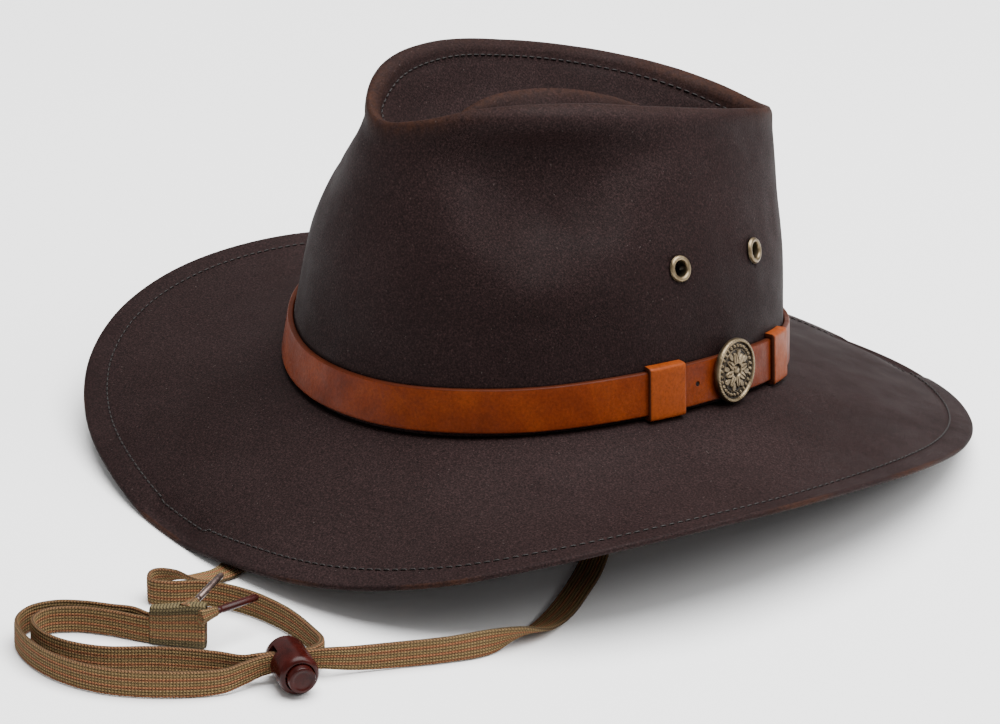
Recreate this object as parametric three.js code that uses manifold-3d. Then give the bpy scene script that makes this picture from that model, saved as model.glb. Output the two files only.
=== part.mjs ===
// Bush hat: a waxed cotton crown and brim, a leather band with two keepers and a cast
// concho, four vent eyelets, and a flat chin lace with a sprung cord lock.
// Millimetres, +Z up. The hat rests on a table at z = 0, front toward -Y and the
// wearer's left toward +X. Angles run round the head from the back (0) to the front (180).

import * as THREE from 'three';
import { mergeVertices } from 'three/addons/utils/BufferGeometryUtils.js';
import Module from 'manifold-3d';

const wasm = await Module();
wasm.setup();

// Cloth and leather
const clothThickness = 2;
const leatherThickness = 2.2;
const keeperThickness = 1.4;
const clearance = 0.3;

// Brim
const brimLength = 348;
const brimWidth = 326;
const brimLift = 39;
const restFlatten = 1.2;
const collarHeight = 12;

// Crown
const headLength = 203.2;
const headWidth = 170;
const headForward = 5.7;
const headEgg = 0.04;
const seamFront = 38.2;
const seamSide = 44.7;
const seamBack = 28.2;
const crownHeight = 114.3;
const crestLength = 176;
const crestWidth = 95;
const crestBackward = 9.7;
const shoulderRadius = 7;
const spineLength = 110;
const basinDepth = 26;
const dentDepth = 14;
const dentAngle = 120;
const dentSpan = 47;

// Band, keepers and concho
const bandHeight = 16.2;
const keeperWidth = 16.2;
const keeperAngles = { keeper_front: 93.3, keeper_back: 51 };
const conchoAngle = 73.6;
const conchoDiameter = 24.4;
const conchoLift = 1.9;
const conchoThickness = 2.4;
const conchoRimWidth = 1.6;
const reliefHeight = 0.5;
const conchoStarPoints = 8;
const conchoBeads = 20;

// Vent eyelets
const eyeletHeight = 52.3;
const eyeletAngles = { front: 87.8, back: 60.5 };
const eyeletFlangeRadius = 5;
const eyeletBarrelRadius = 3.5;
const eyeletHoleRadius = 3;
const eyeletFlangeThickness = 1;
const eyeletSeat = 0.8;

// Chin lace, cord lock and aglets
const laceWidth = 10;
const laceThickness = 1.6;
const lockRadius = 7.25;
const lockLength = 20;
const lockSlotStation = 6.5;
const lockBoreStation = 11;
const lockYaw = 104;
const lockPlace = new THREE.Vector2(128, -196.5);
const buttonRadius = 4.8;
const buttonTravel = 2.5;
const buttonProud = 3;
const aglets = {
  aglet_metal: { from: [80.6, -206.6, 14.2], to: [70.6, -190.6, 16.4], radius: 1.4 },
  aglet_plastic: { from: [88, -202.8, 12.4], to: [84.9, -184.6, 12.2], radius: 1.6 },
};
const knot = { length: 20, depth: 7, height: 17, place: [82.1, -214.6], yaw: 48 };
const hornLength = 8;
const hornRadius = 2.6;

// Facets round a full turn
const headFacets = 60;
const smallFacets = 14;

// Brim edge: across, along and lift are shares of half the brim's width, half its
// length and its lift
const brimEdge = [
  { angle: 0, across: 0, along: 1, lift: 0 },
  { angle: 15, across: 0.247, along: 0.962, lift: 0.065 },
  { angle: 30, across: 0.479, along: 0.851, lift: 0.19 },
  { angle: 45, across: 0.68, along: 0.672, lift: 0.4 },
  { angle: 60, across: 0.839, along: 0.436, lift: 0.65 },
  { angle: 75, across: 0.947, along: 0.163, lift: 0.87 },
  { angle: 90, across: 0.998, along: -0.121, lift: 0.99 },
  { angle: 105, across: 0.985, along: -0.39, lift: 0.965 },
  { angle: 120, across: 0.904, along: -0.618, lift: 0.8 },
  { angle: 135, across: 0.756, along: -0.793, lift: 0.54 },
  { angle: 150, across: 0.545, along: -0.911, lift: 0.29 },
  { angle: 165, across: 0.285, along: -0.978, lift: 0.122 },
  { angle: 180, across: 0, along: -1, lift: 0 },
];

// Brim section from the seam (0) to the edge (1): sag is a share of the seam's height,
// below the straight line at the sides and above it at the front and back
const brimSection = [
  { out: 0, sag: 0 },
  { out: 0.16, sag: 0.55 },
  { out: 0.36, sag: 0.95 },
  { out: 0.58, sag: 0.98 },
  { out: 0.79, sag: 0.65 },
  { out: 0.94, sag: 0.22 },
  { out: 1, sag: 0 },
];
const sideSag = 0.13;
const endSag = -0.05;

// Crown crest: height is a share of the crown height; trough and ridge are shares of
// the basin depth, below the crest; shoulder is a share of the shoulder radius
const crest = [
  { angle: 0, height: 0.86, trough: 0.5, ridge: 0.22, shoulder: 0.5 },
  { angle: 22.5, height: 0.873, trough: 0.62, ridge: 0.26, shoulder: 0.5 },
  { angle: 45, height: 0.889, trough: 0.72, ridge: 0.27, shoulder: 0.5 },
  { angle: 67.5, height: 0.906, trough: 0.82, ridge: 0.25, shoulder: 0.75 },
  { angle: 90, height: 0.935, trough: 0.86, ridge: 0.26, shoulder: 1 },
  { angle: 112.5, height: 0.98, trough: 0.86, ridge: 0.33, shoulder: 1 },
  { angle: 135, height: 0.997, trough: 0.8, ridge: 0.33, shoulder: 0.65 },
  { angle: 157.5, height: 0.971, trough: 0.6, ridge: 0.28, shoulder: 0.5 },
  { angle: 180, height: 0.95, trough: 0.45, ridge: 0.26, shoulder: 0.5 },
];

// Crown wall from the seam up: lean is the share of the way in from the seam to the
// shoulder, roll the share of the way over the shoulder to the crest
const wall = [
  { height: 0, lean: 0, roll: 0 },
  { height: 0.09, lean: 0.05, roll: 0 },
  { height: 0.18, lean: 0.1, roll: 0 },
  { height: 0.32, lean: 0.18, roll: 0 },
  { height: 0.46, lean: 0.28, roll: 0 },
  { height: 0.56, lean: 0.39, roll: 0 },
  { height: 0.65, lean: 0.53, roll: 0 },
  { height: 0.73, lean: 0.67, roll: 0 },
  { height: 0.8, lean: 0.8, roll: 0 },
  { height: 0.86, lean: 0.9, roll: 0 },
  { height: 0.92, lean: 1, roll: 0 },
  { height: 0.958, lean: 1, roll: 0.14 },
  { height: 0.986, lean: 1, roll: 0.42 },
  { height: 1, lean: 1, roll: 1 },
];

// Crown top from the crest (0) in to the spine (1)
const basin = [
  { inward: 0.09, trough: 0.08, ridge: 0.02 },
  { inward: 0.2, trough: 0.4, ridge: 0.1 },
  { inward: 0.34, trough: 0.78, ridge: 0.25 },
  { inward: 0.5, trough: 1, ridge: 0.5 },
  { inward: 0.67, trough: 0.82, ridge: 0.76 },
  { inward: 0.83, trough: 0.36, ridge: 0.93 },
  { inward: 0.94, trough: 0.07, ridge: 0.99 },
  { inward: 1, trough: 0, ridge: 1 },
];

// Side dents: height shares where the dent starts under the shoulder and is deepest,
// how far its lower lip reaches down, and how long the lip is
const dentTop = 0.955;
const dentDeepest = 0.81;
const dentReach = 0.36;
const dentLip = 0.26;

// Chin lace: the middle of the lace, and its turn from lying flat (0) to on edge (90)
const laceRight = [
  { x: -0.6, y: 89.5, z: 34.2, turn: 90 },
  { x: -18.4, y: 86.1, z: 35.3, turn: 90 },
  { x: -35.5, y: 75.9, z: 37.9, turn: 90 },
  { x: -50.4, y: 60.2, z: 41.4, turn: 90 },
  { x: -63, y: 40.5, z: 45.3, turn: 90 },
  { x: -71.3, y: 18.2, z: 48.2, turn: 90 },
  { x: -75, y: -2.3, z: 47.7, turn: 90 },
  { x: -75.5, y: -16, z: 38, turn: 70 },
  { x: -68, y: -30, z: 19, turn: 35 },
  { x: -56, y: -45, z: 5.8, turn: 8 },
  { x: -40, y: -64, z: 1, turn: 0 },
  { x: -22, y: -88, z: 1, turn: 0 },
  { x: -4, y: -112, z: 1, turn: 0 },
  { x: 14, y: -136, z: 1, turn: 0 },
  { x: 31, y: -157.5, z: 0.95, turn: 0 },
  { x: 41.5, y: -172.5, z: 0.95, turn: 0 },
  { x: 42.5, y: -184, z: 1.9, turn: 10 },
  { x: 41, y: -194, z: 4.4, turn: 45 },
  { x: 43, y: -203, z: 5.1, turn: 90 },
  { x: 49, y: -207, z: 5.1, turn: 90 },
  { x: 54.5, y: -202, z: 5.1, turn: 90 },
  { x: 60, y: -191.5, z: 5.1, turn: 90 },
  { x: 73, y: -182.5, z: 5.1, turn: 90 },
  { x: 92, y: -177.5, z: 5.1, turn: 90 },
  { x: 110, y: -177.5, z: 5.1, turn: 90 },
  { x: 121.5, y: -180.5, z: 6.4, turn: 90 },
  { x: 125.8, y: -186.7, z: 7.25, turn: 90 },
  { x: 121.4, y: -204.2, z: 7.25, turn: 90 },
  { x: 118.5, y: -210, z: 6.2, turn: 90 },
  { x: 112, y: -217, z: 5.1, turn: 90 },
  { x: 99, y: -233, z: 5.1, turn: 90 },
  { x: 86, y: -247, z: 5.1, turn: 90 },
  { x: 75, y: -254, z: 5.1, turn: 90 },
  { x: 65, y: -256, z: 5.1, turn: 90 },
  { x: 58, y: -253, z: 5.1, turn: 90 },
  { x: 57, y: -246, z: 5.1, turn: 90 },
  { x: 62, y: -238.5, z: 5.1, turn: 90 },
  { x: 69, y: -230.5, z: 5.1, turn: 90 },
  { x: 75.7, y: -222.9, z: 5.1, turn: 90 },
];
const laceLeft = [
  { x: 0.6, y: 89.5, z: 34.2, turn: 90 },
  { x: 18.4, y: 86.1, z: 35.3, turn: 90 },
  { x: 35.5, y: 75.9, z: 37.9, turn: 90 },
  { x: 50.4, y: 60.2, z: 41.4, turn: 90 },
  { x: 63, y: 40.5, z: 45.3, turn: 90 },
  { x: 71.3, y: 18.2, z: 48.2, turn: 90 },
  { x: 75, y: -2.3, z: 47.7, turn: 90 },
  { x: 78, y: -15, z: 38, turn: 70 },
  { x: 82, y: -29, z: 19, turn: 35 },
  { x: 91, y: -41, z: 5.8, turn: 8 },
  { x: 103, y: -54, z: 1, turn: 0 },
  { x: 117, y: -70, z: 1, turn: 0 },
  { x: 130, y: -87, z: 1, turn: 0 },
  { x: 139, y: -102, z: 2.4, turn: 15 },
  { x: 143, y: -115, z: 4.9, turn: 55 },
  { x: 143.5, y: -127, z: 5.1, turn: 90 },
  { x: 141, y: -142, z: 5.1, turn: 90 },
  { x: 136, y: -158, z: 5.1, turn: 90 },
  { x: 131.5, y: -173, z: 5.6, turn: 90 },
  { x: 127.8, y: -187.2, z: 7.25, turn: 90 },
  { x: 123.4, y: -204.6, z: 7.25, turn: 90 },
  { x: 123.2, y: -212, z: 6.2, turn: 90 },
  { x: 123, y: -221, z: 5.1, turn: 90 },
  { x: 113, y: -240, z: 5.1, turn: 90 },
  { x: 99, y: -253.5, z: 5.1, turn: 90 },
  { x: 82, y: -262, z: 5.1, turn: 90 },
  { x: 65, y: -265, z: 5.1, turn: 90 },
  { x: 52, y: -262.5, z: 5.1, turn: 90 },
  { x: 45, y: -255, z: 5.1, turn: 90 },
  { x: 45, y: -246, z: 5.1, turn: 90 },
  { x: 51, y: -237, z: 5.1, turn: 90 },
  { x: 59, y: -229, z: 5.1, turn: 90 },
  { x: 66, y: -223.5, z: 5.1, turn: 90 },
  { x: 73.2, y: -220.9, z: 5.1, turn: 90 },
];

// Finishes
const finishes = {
  cloth: { color: 0x2b211f, roughness: 0.75, metalness: 0 },
  leather: { color: 0x9a4f1c, roughness: 0.55, metalness: 0 },
  brass: { color: 0x6f6146, roughness: 0.45, metalness: 0.9 },
  lace: { color: 0x5f4d33, roughness: 0.9, metalness: 0 },
  lock: { color: 0x3c100f, roughness: 0.4, metalness: 0 },
  steel: { color: 0x3b2c28, roughness: 0.4, metalness: 0.8 },
};

const group = new THREE.Group();

function addMesh(name, geometry, finish) {
  const mesh = new THREE.Mesh(geometry, new THREE.MeshStandardMaterial(finishes[finish]));
  mesh.name = name;
  group.add(mesh);
  return mesh;
}

// Numbers and curves

const radians = THREE.MathUtils.degToRad;
const mix = THREE.MathUtils.lerp;
const smooth = THREE.MathUtils.smoothstep;

// A smooth value from a table of evenly spaced angles from 0 to 180. The other side
// mirrors it, with the same sign (parity 1) or the opposite one (parity -1).
function tableValue(rows, column, angle, parity = 1) {
  const last = rows.length - 1;
  const place = (Math.abs(angle) / 180) * last;
  const row = Math.min(Math.floor(place), last - 1);
  const at = (index) => {
    if (index < 0) return parity * rows[-index][column];
    if (index > last) return parity * rows[2 * last - index][column];
    return rows[index][column];
  };
  const [a, b, c, d] = [at(row - 1), at(row), at(row + 1), at(row + 2)];
  const t = place - row;
  const bend = t * t * (2 * a - 5 * b + 4 * c - d) + t * t * t * (3 * b - a - 3 * c + d);
  const value = b + 0.5 * (t * (c - a) + bend);
  return angle < 0 ? parity * value : value;
}

function turnAngles(count) {
  return Array.from({ length: count }, (_, index) => (index * 360) / count - 180);
}

// Outlines round the head

function seamHeight(angle) {
  const ends = mix(seamFront, seamBack, (1 + Math.cos(radians(angle))) / 2);
  const endsMean = (seamFront + seamBack) / 2;
  return ends + (seamSide - endsMean) * Math.sin(radians(angle)) ** 2;
}

function seamPoint(angle, inset = 0) {
  const turn = radians(angle);
  return new THREE.Vector3(
    (headWidth / 2 - inset) * (Math.sin(turn) - headEgg * Math.sin(2 * turn)),
    (headLength / 2 - inset) * Math.cos(turn) - headForward,
    seamHeight(angle),
  );
}

function outwardAt(angle) {
  const step = 0.5;
  const ahead = seamPoint(angle + step);
  const behind = seamPoint(angle - step);
  return new THREE.Vector3(behind.y - ahead.y, ahead.x - behind.x, 0).normalize();
}

function crestPoint(angle, outset = 0) {
  const turn = radians(angle);
  return new THREE.Vector3(
    (crestWidth / 2 + outset) * Math.sin(turn),
    (crestLength / 2 + outset) * Math.cos(turn) - headForward + crestBackward,
    seamHeight(angle) + crownHeight * tableValue(crest, 'height', angle),
  );
}

function spinePoint(angle) {
  const along = (spineLength / 2) * Math.cos(radians(angle));
  return new THREE.Vector3(0, along - headForward + crestBackward, 0);
}

function brimEdgePoint(angle) {
  const lift = brimLift * tableValue(brimEdge, 'lift', angle);
  return new THREE.Vector3(
    (brimWidth / 2) * tableValue(brimEdge, 'across', angle, -1),
    (brimLength / 2) * tableValue(brimEdge, 'along', angle),
    Math.max(0, lift - restFlatten),
  );
}

// Crown surface

function dentPush(angle, height) {
  const away = Math.abs(Math.abs(angle) - dentAngle) / dentSpan;
  if (away >= 1) return 0;
  const side = Math.cos((away * Math.PI) / 2) ** 2;
  const lipBottom = dentDeepest - dentReach * side;
  const rise = smooth(height, lipBottom, lipBottom + dentLip);
  const fade = 1 - smooth(height, dentDeepest, dentTop);
  return dentDepth * side * Math.min(rise, fade);
}

function wallPoint(angle, row) {
  const seam = seamPoint(angle);
  const shoulder = crestPoint(angle, shoulderRadius * tableValue(crest, 'shoulder', angle));
  const top = crestPoint(angle);
  const point = seam.clone().lerp(shoulder, row.lean).lerp(top, row.roll);
  point.addScaledVector(outwardAt(angle), -dentPush(angle, row.height));
  point.z = mix(seam.z + clearance, top.z, row.height);
  return point;
}

function basinPoint(angle, row) {
  const top = crestPoint(angle);
  const point = top.clone().lerp(spinePoint(angle), row.inward);
  const trough = row.trough * tableValue(crest, 'trough', angle);
  const ridge = row.ridge * tableValue(crest, 'ridge', angle);
  point.z = top.z - basinDepth * (trough + ridge);
  return point;
}

// A point on the crown's outer wall at a height over the seam, with the wall's normal
function crownAt(angle, rise) {
  const share = Math.max(0, rise) / (crownHeight * tableValue(crest, 'height', angle));
  const upper = wall.findIndex((row) => row.height > share);
  const part = (share - wall[upper - 1].height) / (wall[upper].height - wall[upper - 1].height);
  const onWall = (turn) => wallPoint(turn, wall[upper - 1]).lerp(wallPoint(turn, wall[upper]), part);
  const point = onWall(angle);
  const along = onWall(angle + 1).sub(onWall(angle - 1));
  const up = wallPoint(angle, wall[upper]).sub(wallPoint(angle, wall[upper - 1]));
  return { point, normal: along.cross(up).multiplyScalar(-1).normalize() };
}

// A point out from the crown's outer wall, at a height over the seam
function besideCrown(angle, out, rise) {
  const { point } = crownAt(angle, rise);
  point.addScaledVector(outwardAt(angle), out);
  point.z = seamHeight(angle) + rise;
  return point;
}

// Mesh building

function meshFromFaces(points, faces) {
  const geometry = new THREE.BufferGeometry();
  const positions = points.flatMap((point) => [point.x, point.y, point.z]);
  geometry.setAttribute('position', new THREE.Float32BufferAttribute(positions, 3));
  geometry.setIndex(faces.flat());
  return geometry;
}

// The same mesh as bare shared corners, without the faces that shrink to a line
function welded(geometry) {
  const bare = geometry.clone();
  bare.deleteAttribute('normal');
  bare.deleteAttribute('uv');
  const merged = mergeVertices(bare, 1e-4);
  const index = merged.getIndex().array;
  const kept = [];
  for (let face = 0; face < index.length; face += 3) {
    const [a, b, c] = index.slice(face, face + 3);
    if (a !== b && b !== c && c !== a) kept.push(a, b, c);
  }
  merged.setIndex(kept);
  return merged;
}

// Rings of points, one ring after another, joined by pairs of triangles. A closed strip
// joins the last ring to the first.
function ringFaces(ringCount, ringSize, first = 0, closed = false) {
  const faces = [];
  const strips = closed ? ringCount : ringCount - 1;
  for (let ring = 0; ring < strips; ring += 1) {
    for (let side = 0; side < ringSize; side += 1) {
      const next = (side + 1) % ringSize;
      const low = first + ring * ringSize;
      const high = first + ((ring + 1) % ringCount) * ringSize;
      faces.push([low + side, high + next, low + next], [low + side, high + side, high + next]);
    }
  }
  return faces;
}

function toManifold(geometry) {
  const merged = welded(geometry);
  return new wasm.Manifold(new wasm.Mesh({
    numProp: 3,
    vertProperties: new Float32Array(merged.getAttribute('position').array),
    triVerts: new Uint32Array(merged.getIndex().array),
  }));
}

function fromManifold(solid) {
  const mesh = solid.getMesh();
  const positions = new Float32Array(mesh.vertProperties);
  const geometry = new THREE.BufferGeometry();
  geometry.setAttribute('position', new THREE.BufferAttribute(positions, 3));
  geometry.setIndex(new THREE.BufferAttribute(new Uint32Array(mesh.triVerts), 1));
  return geometry;
}

// A copy of a geometry with its own +Z axis turned to a direction and moved to a point
function placed(geometry, point, direction) {
  const turn = new THREE.Quaternion().setFromUnitVectors(new THREE.Vector3(0, 0, 1), direction);
  return geometry.clone().applyQuaternion(turn).translate(point.x, point.y, point.z);
}

// A round solid from a closed profile of [radius, height] pairs
function lathe(profile, facets = smallFacets) {
  const closed = profile[0][0] === 0 ? profile : [...profile, profile[0]];
  const outline = closed.map(([radius, height]) => new THREE.Vector2(radius, height));
  return welded(new THREE.LatheGeometry(outline, facets).rotateX(Math.PI / 2));
}

// Crown

// A cloth shell from rings of points on its outside and the normals there. The listed
// rings are cut edges, and a last ring that folds onto itself needs none.
function clothShell({ rings, normals, cutRings }) {
  const outside = rings.flat();
  const flatNormals = normals.flat();
  const inside = outside.map((point, index) => (
    point.clone().addScaledVector(flatNormals[index], -clothThickness)
  ));
  const count = outside.length;
  const skin = ringFaces(rings.length, headFacets);
  const lining = skin.map(([a, b, c]) => [count + a, count + c, count + b]);
  const cuts = cutRings.flatMap((ring) => {
    const start = ring * headFacets;
    const edge = turnAngles(headFacets).flatMap((_, side) => {
      const low = start + side;
      const high = start + ((side + 1) % headFacets);
      return [[low, high, count + high], [low, count + high, count + low]];
    });
    return ring === 0 ? edge : edge.map(([a, b, c]) => [a, c, b]);
  });
  return meshFromFaces([...outside, ...inside], [...skin, ...lining, ...cuts]);
}

// The outside of the crown: the side's rings, then the top's, which start a clearance
// inside the crest. The two halves of the top meet along the spine, so both share one
// normal there.
function crownRings() {
  const angles = turnAngles(headFacets);
  const side = wall.map((row) => angles.map((angle) => wallPoint(angle, row)));
  const top = basin.map((row) => angles.map((angle) => basinPoint(angle, row)));
  const skin = meshFromFaces([...side, ...top].flat(), ringFaces(side.length + top.length, headFacets));
  skin.computeVertexNormals();
  const normalAt = (ring, turn) => new THREE.Vector3().fromBufferAttribute(
    skin.getAttribute('normal'),
    ring * headFacets + turn,
  );
  const normals = [...side, ...top].map((points, ring) => points.map((_, turn) => normalAt(ring, turn)));
  normals[0] = normals[0].map((normal) => normal.setZ(0).normalize());
  const spine = normals.length - 1;
  normals[spine] = normals[spine].map((_, turn) => {
    const mirror = (headFacets - turn) % headFacets;
    return normalAt(spine, turn).add(normalAt(spine, mirror)).setX(0).normalize();
  });
  const last = side.length - 1;
  const topEdge = angles.map((angle) => {
    const start = crestPoint(angle);
    const inward = spinePoint(angle).setZ(start.z).sub(start).normalize();
    return start.addScaledVector(inward, clearance);
  });
  return {
    side: { rings: side, normals: normals.slice(0, last + 1), cutRings: [0, last] },
    top: { rings: [topEdge, ...top], normals: normals.slice(last), cutRings: [0] },
  };
}

function eyeletPlaces() {
  const places = [];
  for (const [end, angle] of Object.entries(eyeletAngles)) {
    places.push({ name: `eyelet_left_${end}`, ...crownAt(angle, eyeletHeight) });
    places.push({ name: `eyelet_right_${end}`, ...crownAt(-angle, eyeletHeight) });
  }
  return places;
}

function crownSideGeometry(shell) {
  let solid = toManifold(clothShell(shell));
  const holeRadius = eyeletBarrelRadius + clearance;
  const reach = 4 * clothThickness;
  const drill = lathe([[0, -reach], [holeRadius, -reach], [holeRadius, reach], [0, reach]]);
  for (const place of eyeletPlaces()) {
    solid = solid.subtract(toManifold(placed(drill, place.point, place.normal)));
  }
  return fromManifold(solid);
}

// Brim

function brimSectionPoints(angle) {
  const seam = seamPoint(angle);
  const edge = brimEdgePoint(angle);
  const sag = mix(endSag, sideSag, Math.sin(radians(angle)) ** 2) * seam.z;
  const under = brimSection.map((row) => {
    const point = seam.clone().lerp(edge, row.out);
    point.z = mix(seam.z - clothThickness, edge.z, row.out) - sag * row.sag;
    return point;
  });
  const last = under.length - 1;
  if (edge.z === 0) under[last - 1].z = 0;
  const top = under.map((point) => point.clone().setZ(point.z + clothThickness));
  const collarOut = -clothThickness - 2 * clearance;
  const collarIn = collarOut - clothThickness;
  return [
    besideCrown(angle, collarIn, -clothThickness),
    besideCrown(angle, collarIn, collarHeight),
    besideCrown(angle, collarOut, collarHeight),
    besideCrown(angle, collarOut, 0),
    ...top,
    ...under.reverse(),
  ];
}

function brimGeometry() {
  const sections = turnAngles(headFacets).map(brimSectionPoints);
  return meshFromFaces(sections.flat(), ringFaces(sections.length, sections[0].length, 0, true));
}

// Band and keepers

const bandRise = keeperThickness + 2 * clearance;
const bandMiddle = bandRise + bandHeight / 2;

function bandGeometry() {
  const inner = clearance;
  const outer = clearance + leatherThickness;
  const low = bandRise;
  const high = bandRise + bandHeight;
  const sections = turnAngles(headFacets).map((angle) => [
    besideCrown(angle, inner, low),
    besideCrown(angle, inner, bandMiddle),
    besideCrown(angle, inner, high),
    besideCrown(angle, outer, high),
    besideCrown(angle, outer, bandMiddle),
    besideCrown(angle, outer, low),
  ]);
  return meshFromFaces(sections.flat(), ringFaces(sections.length, sections[0].length, 0, true));
}

// A keeper's section as [out, rise] corners. It folds over the band's edges, and its ends
// tuck in against the crown.
function keeperOutline() {
  const back = clearance;
  const inside = 2.5 * clearance + leatherThickness;
  const outside = inside + keeperThickness;
  const low = bandRise - clearance;
  const high = bandRise + bandHeight + clearance;
  return [
    [back, low - keeperThickness],
    [back, low],
    [inside, low],
    [inside, high],
    [back, high],
    [back, high + keeperThickness],
    [outside, high + keeperThickness],
    [outside, bandMiddle],
    [outside, low - keeperThickness],
  ];
}

function keeperGeometry(middle) {
  const outline = keeperOutline();
  const perDegree = besideCrown(middle, 0, bandMiddle).distanceTo(besideCrown(middle + 1, 0, bandMiddle));
  const halfSpan = keeperWidth / 2 / perDegree;
  const steps = 4;
  const sections = Array.from({ length: steps + 1 }, (_, index) => {
    const angle = mix(middle - halfSpan, middle + halfSpan, index / steps);
    return outline.map(([out, rise]) => besideCrown(angle, out, rise));
  });
  const cap = THREE.ShapeUtils.triangulateShape(outline.map(([x, y]) => new THREE.Vector2(x, y)), []);
  const start = cap.map(([a, b, c]) => [a, c, b]);
  const end = cap.map((face) => face.map((corner) => corner + steps * outline.length));
  const sides = ringFaces(sections.length, outline.length);
  return facingOut(meshFromFaces(sections.flat(), [...sides, ...start, ...end]));
}

// The same mesh with its faces pointing out
function facingOut(geometry) {
  const place = geometry.getAttribute('position');
  const index = geometry.getIndex().array;
  let volume = 0;
  for (let face = 0; face < index.length; face += 3) {
    const [a, b, c] = [0, 1, 2].map((corner) => (
      new THREE.Vector3().fromBufferAttribute(place, index[face + corner])
    ));
    volume += a.dot(b.cross(c));
  }
  if (volume < 0) {
    const turned = [];
    for (let face = 0; face < index.length; face += 3) {
      turned.push(index[face], index[face + 2], index[face + 1]);
    }
    geometry.setIndex(turned);
  }
  return geometry;
}

// Concho: a disc with a raised rim, a star and a ring of beads

function conchoDisc(field) {
  const radius = conchoDiameter / 2;
  const backBevel = 0.6;
  const rimBevel = 0.5;
  const rimSlope = 0.4;
  return lathe([
    [0, 0],
    [radius - backBevel, 0],
    [radius, backBevel],
    [radius, conchoThickness - rimBevel],
    [radius - rimBevel, conchoThickness],
    [radius - conchoRimWidth, conchoThickness],
    [radius - conchoRimWidth - rimSlope, field],
    [0, field],
  ], 32);
}

function starOutline() {
  const beadBorder = 3.2;
  const tipRadius = conchoDiameter / 2 - conchoRimWidth - beadBorder;
  const notchRadius = 0.42 * tipRadius;
  const star = new THREE.Shape();
  for (let corner = 0; corner < 2 * conchoStarPoints; corner += 1) {
    const turn = (corner * Math.PI) / conchoStarPoints;
    const reach = corner % 2 ? notchRadius : tipRadius;
    const move = corner ? 'lineTo' : 'moveTo';
    star[move](reach * Math.sin(turn), reach * Math.cos(turn));
  }
  return star;
}

// The star and the beads reach down into the disc by a root, and join it
function conchoGeometry() {
  const rimProud = 0.3;
  const root = 1;
  const beadRadius = 0.7;
  const beadTopRadius = 0.4;
  const beadShoulder = 0.1;
  const field = conchoThickness - reliefHeight - rimProud;
  let solid = toManifold(conchoDisc(field));
  const star = new THREE.ExtrudeGeometry(starOutline(), { depth: root + reliefHeight, bevelEnabled: false });
  solid = solid.add(toManifold(star.translate(0, 0, field - root)));
  const beadRing = conchoDiameter / 2 - conchoRimWidth - 1 - beadRadius;
  const bead = lathe([
    [0, -root],
    [beadRadius, -root],
    [beadRadius, beadShoulder],
    [beadTopRadius, reliefHeight],
    [0, reliefHeight],
  ], 6);
  for (let copy = 0; copy < conchoBeads; copy += 1) {
    const turn = (copy * 2 * Math.PI) / conchoBeads;
    const place = bead.clone().translate(beadRing * Math.sin(turn), beadRing * Math.cos(turn), field);
    solid = solid.add(toManifold(place));
  }
  return fromManifold(solid);
}

function addConcho() {
  const mesh = addMesh('concho', conchoGeometry(), 'brass');
  const low = besideCrown(conchoAngle, 0, bandRise);
  const high = besideCrown(conchoAngle, 0, bandRise + bandHeight);
  const behind = besideCrown(conchoAngle - 1, 0, bandMiddle);
  const along = besideCrown(conchoAngle + 1, 0, bandMiddle).sub(behind);
  const normal = high.clone().sub(low).cross(along).normalize();
  const seat = besideCrown(conchoAngle, 2 * clearance + leatherThickness, bandMiddle + conchoLift);
  mesh.position.copy(seat);
  mesh.quaternion.setFromUnitVectors(new THREE.Vector3(0, 0, 1), normal);
}

// Vent eyelets: a barrel through the crown wall with a rolled flange on each face

function eyeletGeometry() {
  const outerSeat = eyeletSeat;
  const innerSeat = -clothThickness - eyeletSeat;
  const flange = eyeletFlangeThickness;
  return lathe([
    [eyeletHoleRadius, innerSeat - flange],
    [eyeletFlangeRadius - 1, innerSeat - flange],
    [eyeletFlangeRadius - 0.8, innerSeat],
    [eyeletBarrelRadius, innerSeat],
    [eyeletBarrelRadius, outerSeat],
    [eyeletFlangeRadius, outerSeat],
    [eyeletFlangeRadius - 0.4, outerSeat + 0.8 * flange],
    [eyeletFlangeRadius - 1.3, outerSeat + 1.2 * flange],
    [eyeletHoleRadius, outerSeat + 0.7 * flange],
  ]);
}

// Chin lace

// A path through the lace's points whose frames carry the lace's turn
class LacePath extends THREE.Curve {
  constructor(rows) {
    super();
    this.rows = rows;
    this.points = rows.map((row) => new THREE.Vector3(row.x, row.y, row.z));
  }

  getSpacedPoints() {
    return this.points;
  }

  computeFrenetFrames() {
    const up = new THREE.Vector3(0, 0, 1);
    const last = this.points.length - 1;
    const tangents = this.points.map((_, index) => {
      const ahead = this.points[Math.min(index + 1, last)];
      const behind = this.points[Math.max(index - 1, 0)];
      return ahead.clone().sub(behind).normalize();
    });
    const normals = tangents.map((tangent, index) => {
      const side = tangent.clone().cross(up).normalize();
      return side.applyAxisAngle(tangent, radians(this.rows[index].turn));
    });
    const binormals = tangents.map((tangent, index) => tangent.clone().cross(normals[index]));
    return { tangents, normals, binormals };
  }
}

function laceGeometry(rows) {
  const halfWidth = laceWidth / 2;
  const halfThickness = laceThickness / 2;
  const shoulder = 0.6;
  const corners = [
    [halfWidth, halfThickness / 2],
    [halfWidth - shoulder, halfThickness],
    [shoulder - halfWidth, halfThickness],
    [-halfWidth, halfThickness / 2],
    [-halfWidth, -halfThickness / 2],
    [shoulder - halfWidth, -halfThickness],
    [halfWidth - shoulder, -halfThickness],
    [halfWidth, -halfThickness / 2],
  ];
  const section = new THREE.Shape(corners.map(([x, y]) => new THREE.Vector2(x, y)));
  const extrudePath = new LacePath(rows);
  return new THREE.ExtrudeGeometry(section, { steps: rows.length - 1, extrudePath });
}

// Cord lock: a barrel on its side, slotted for the two laces, and its sprung button

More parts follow.
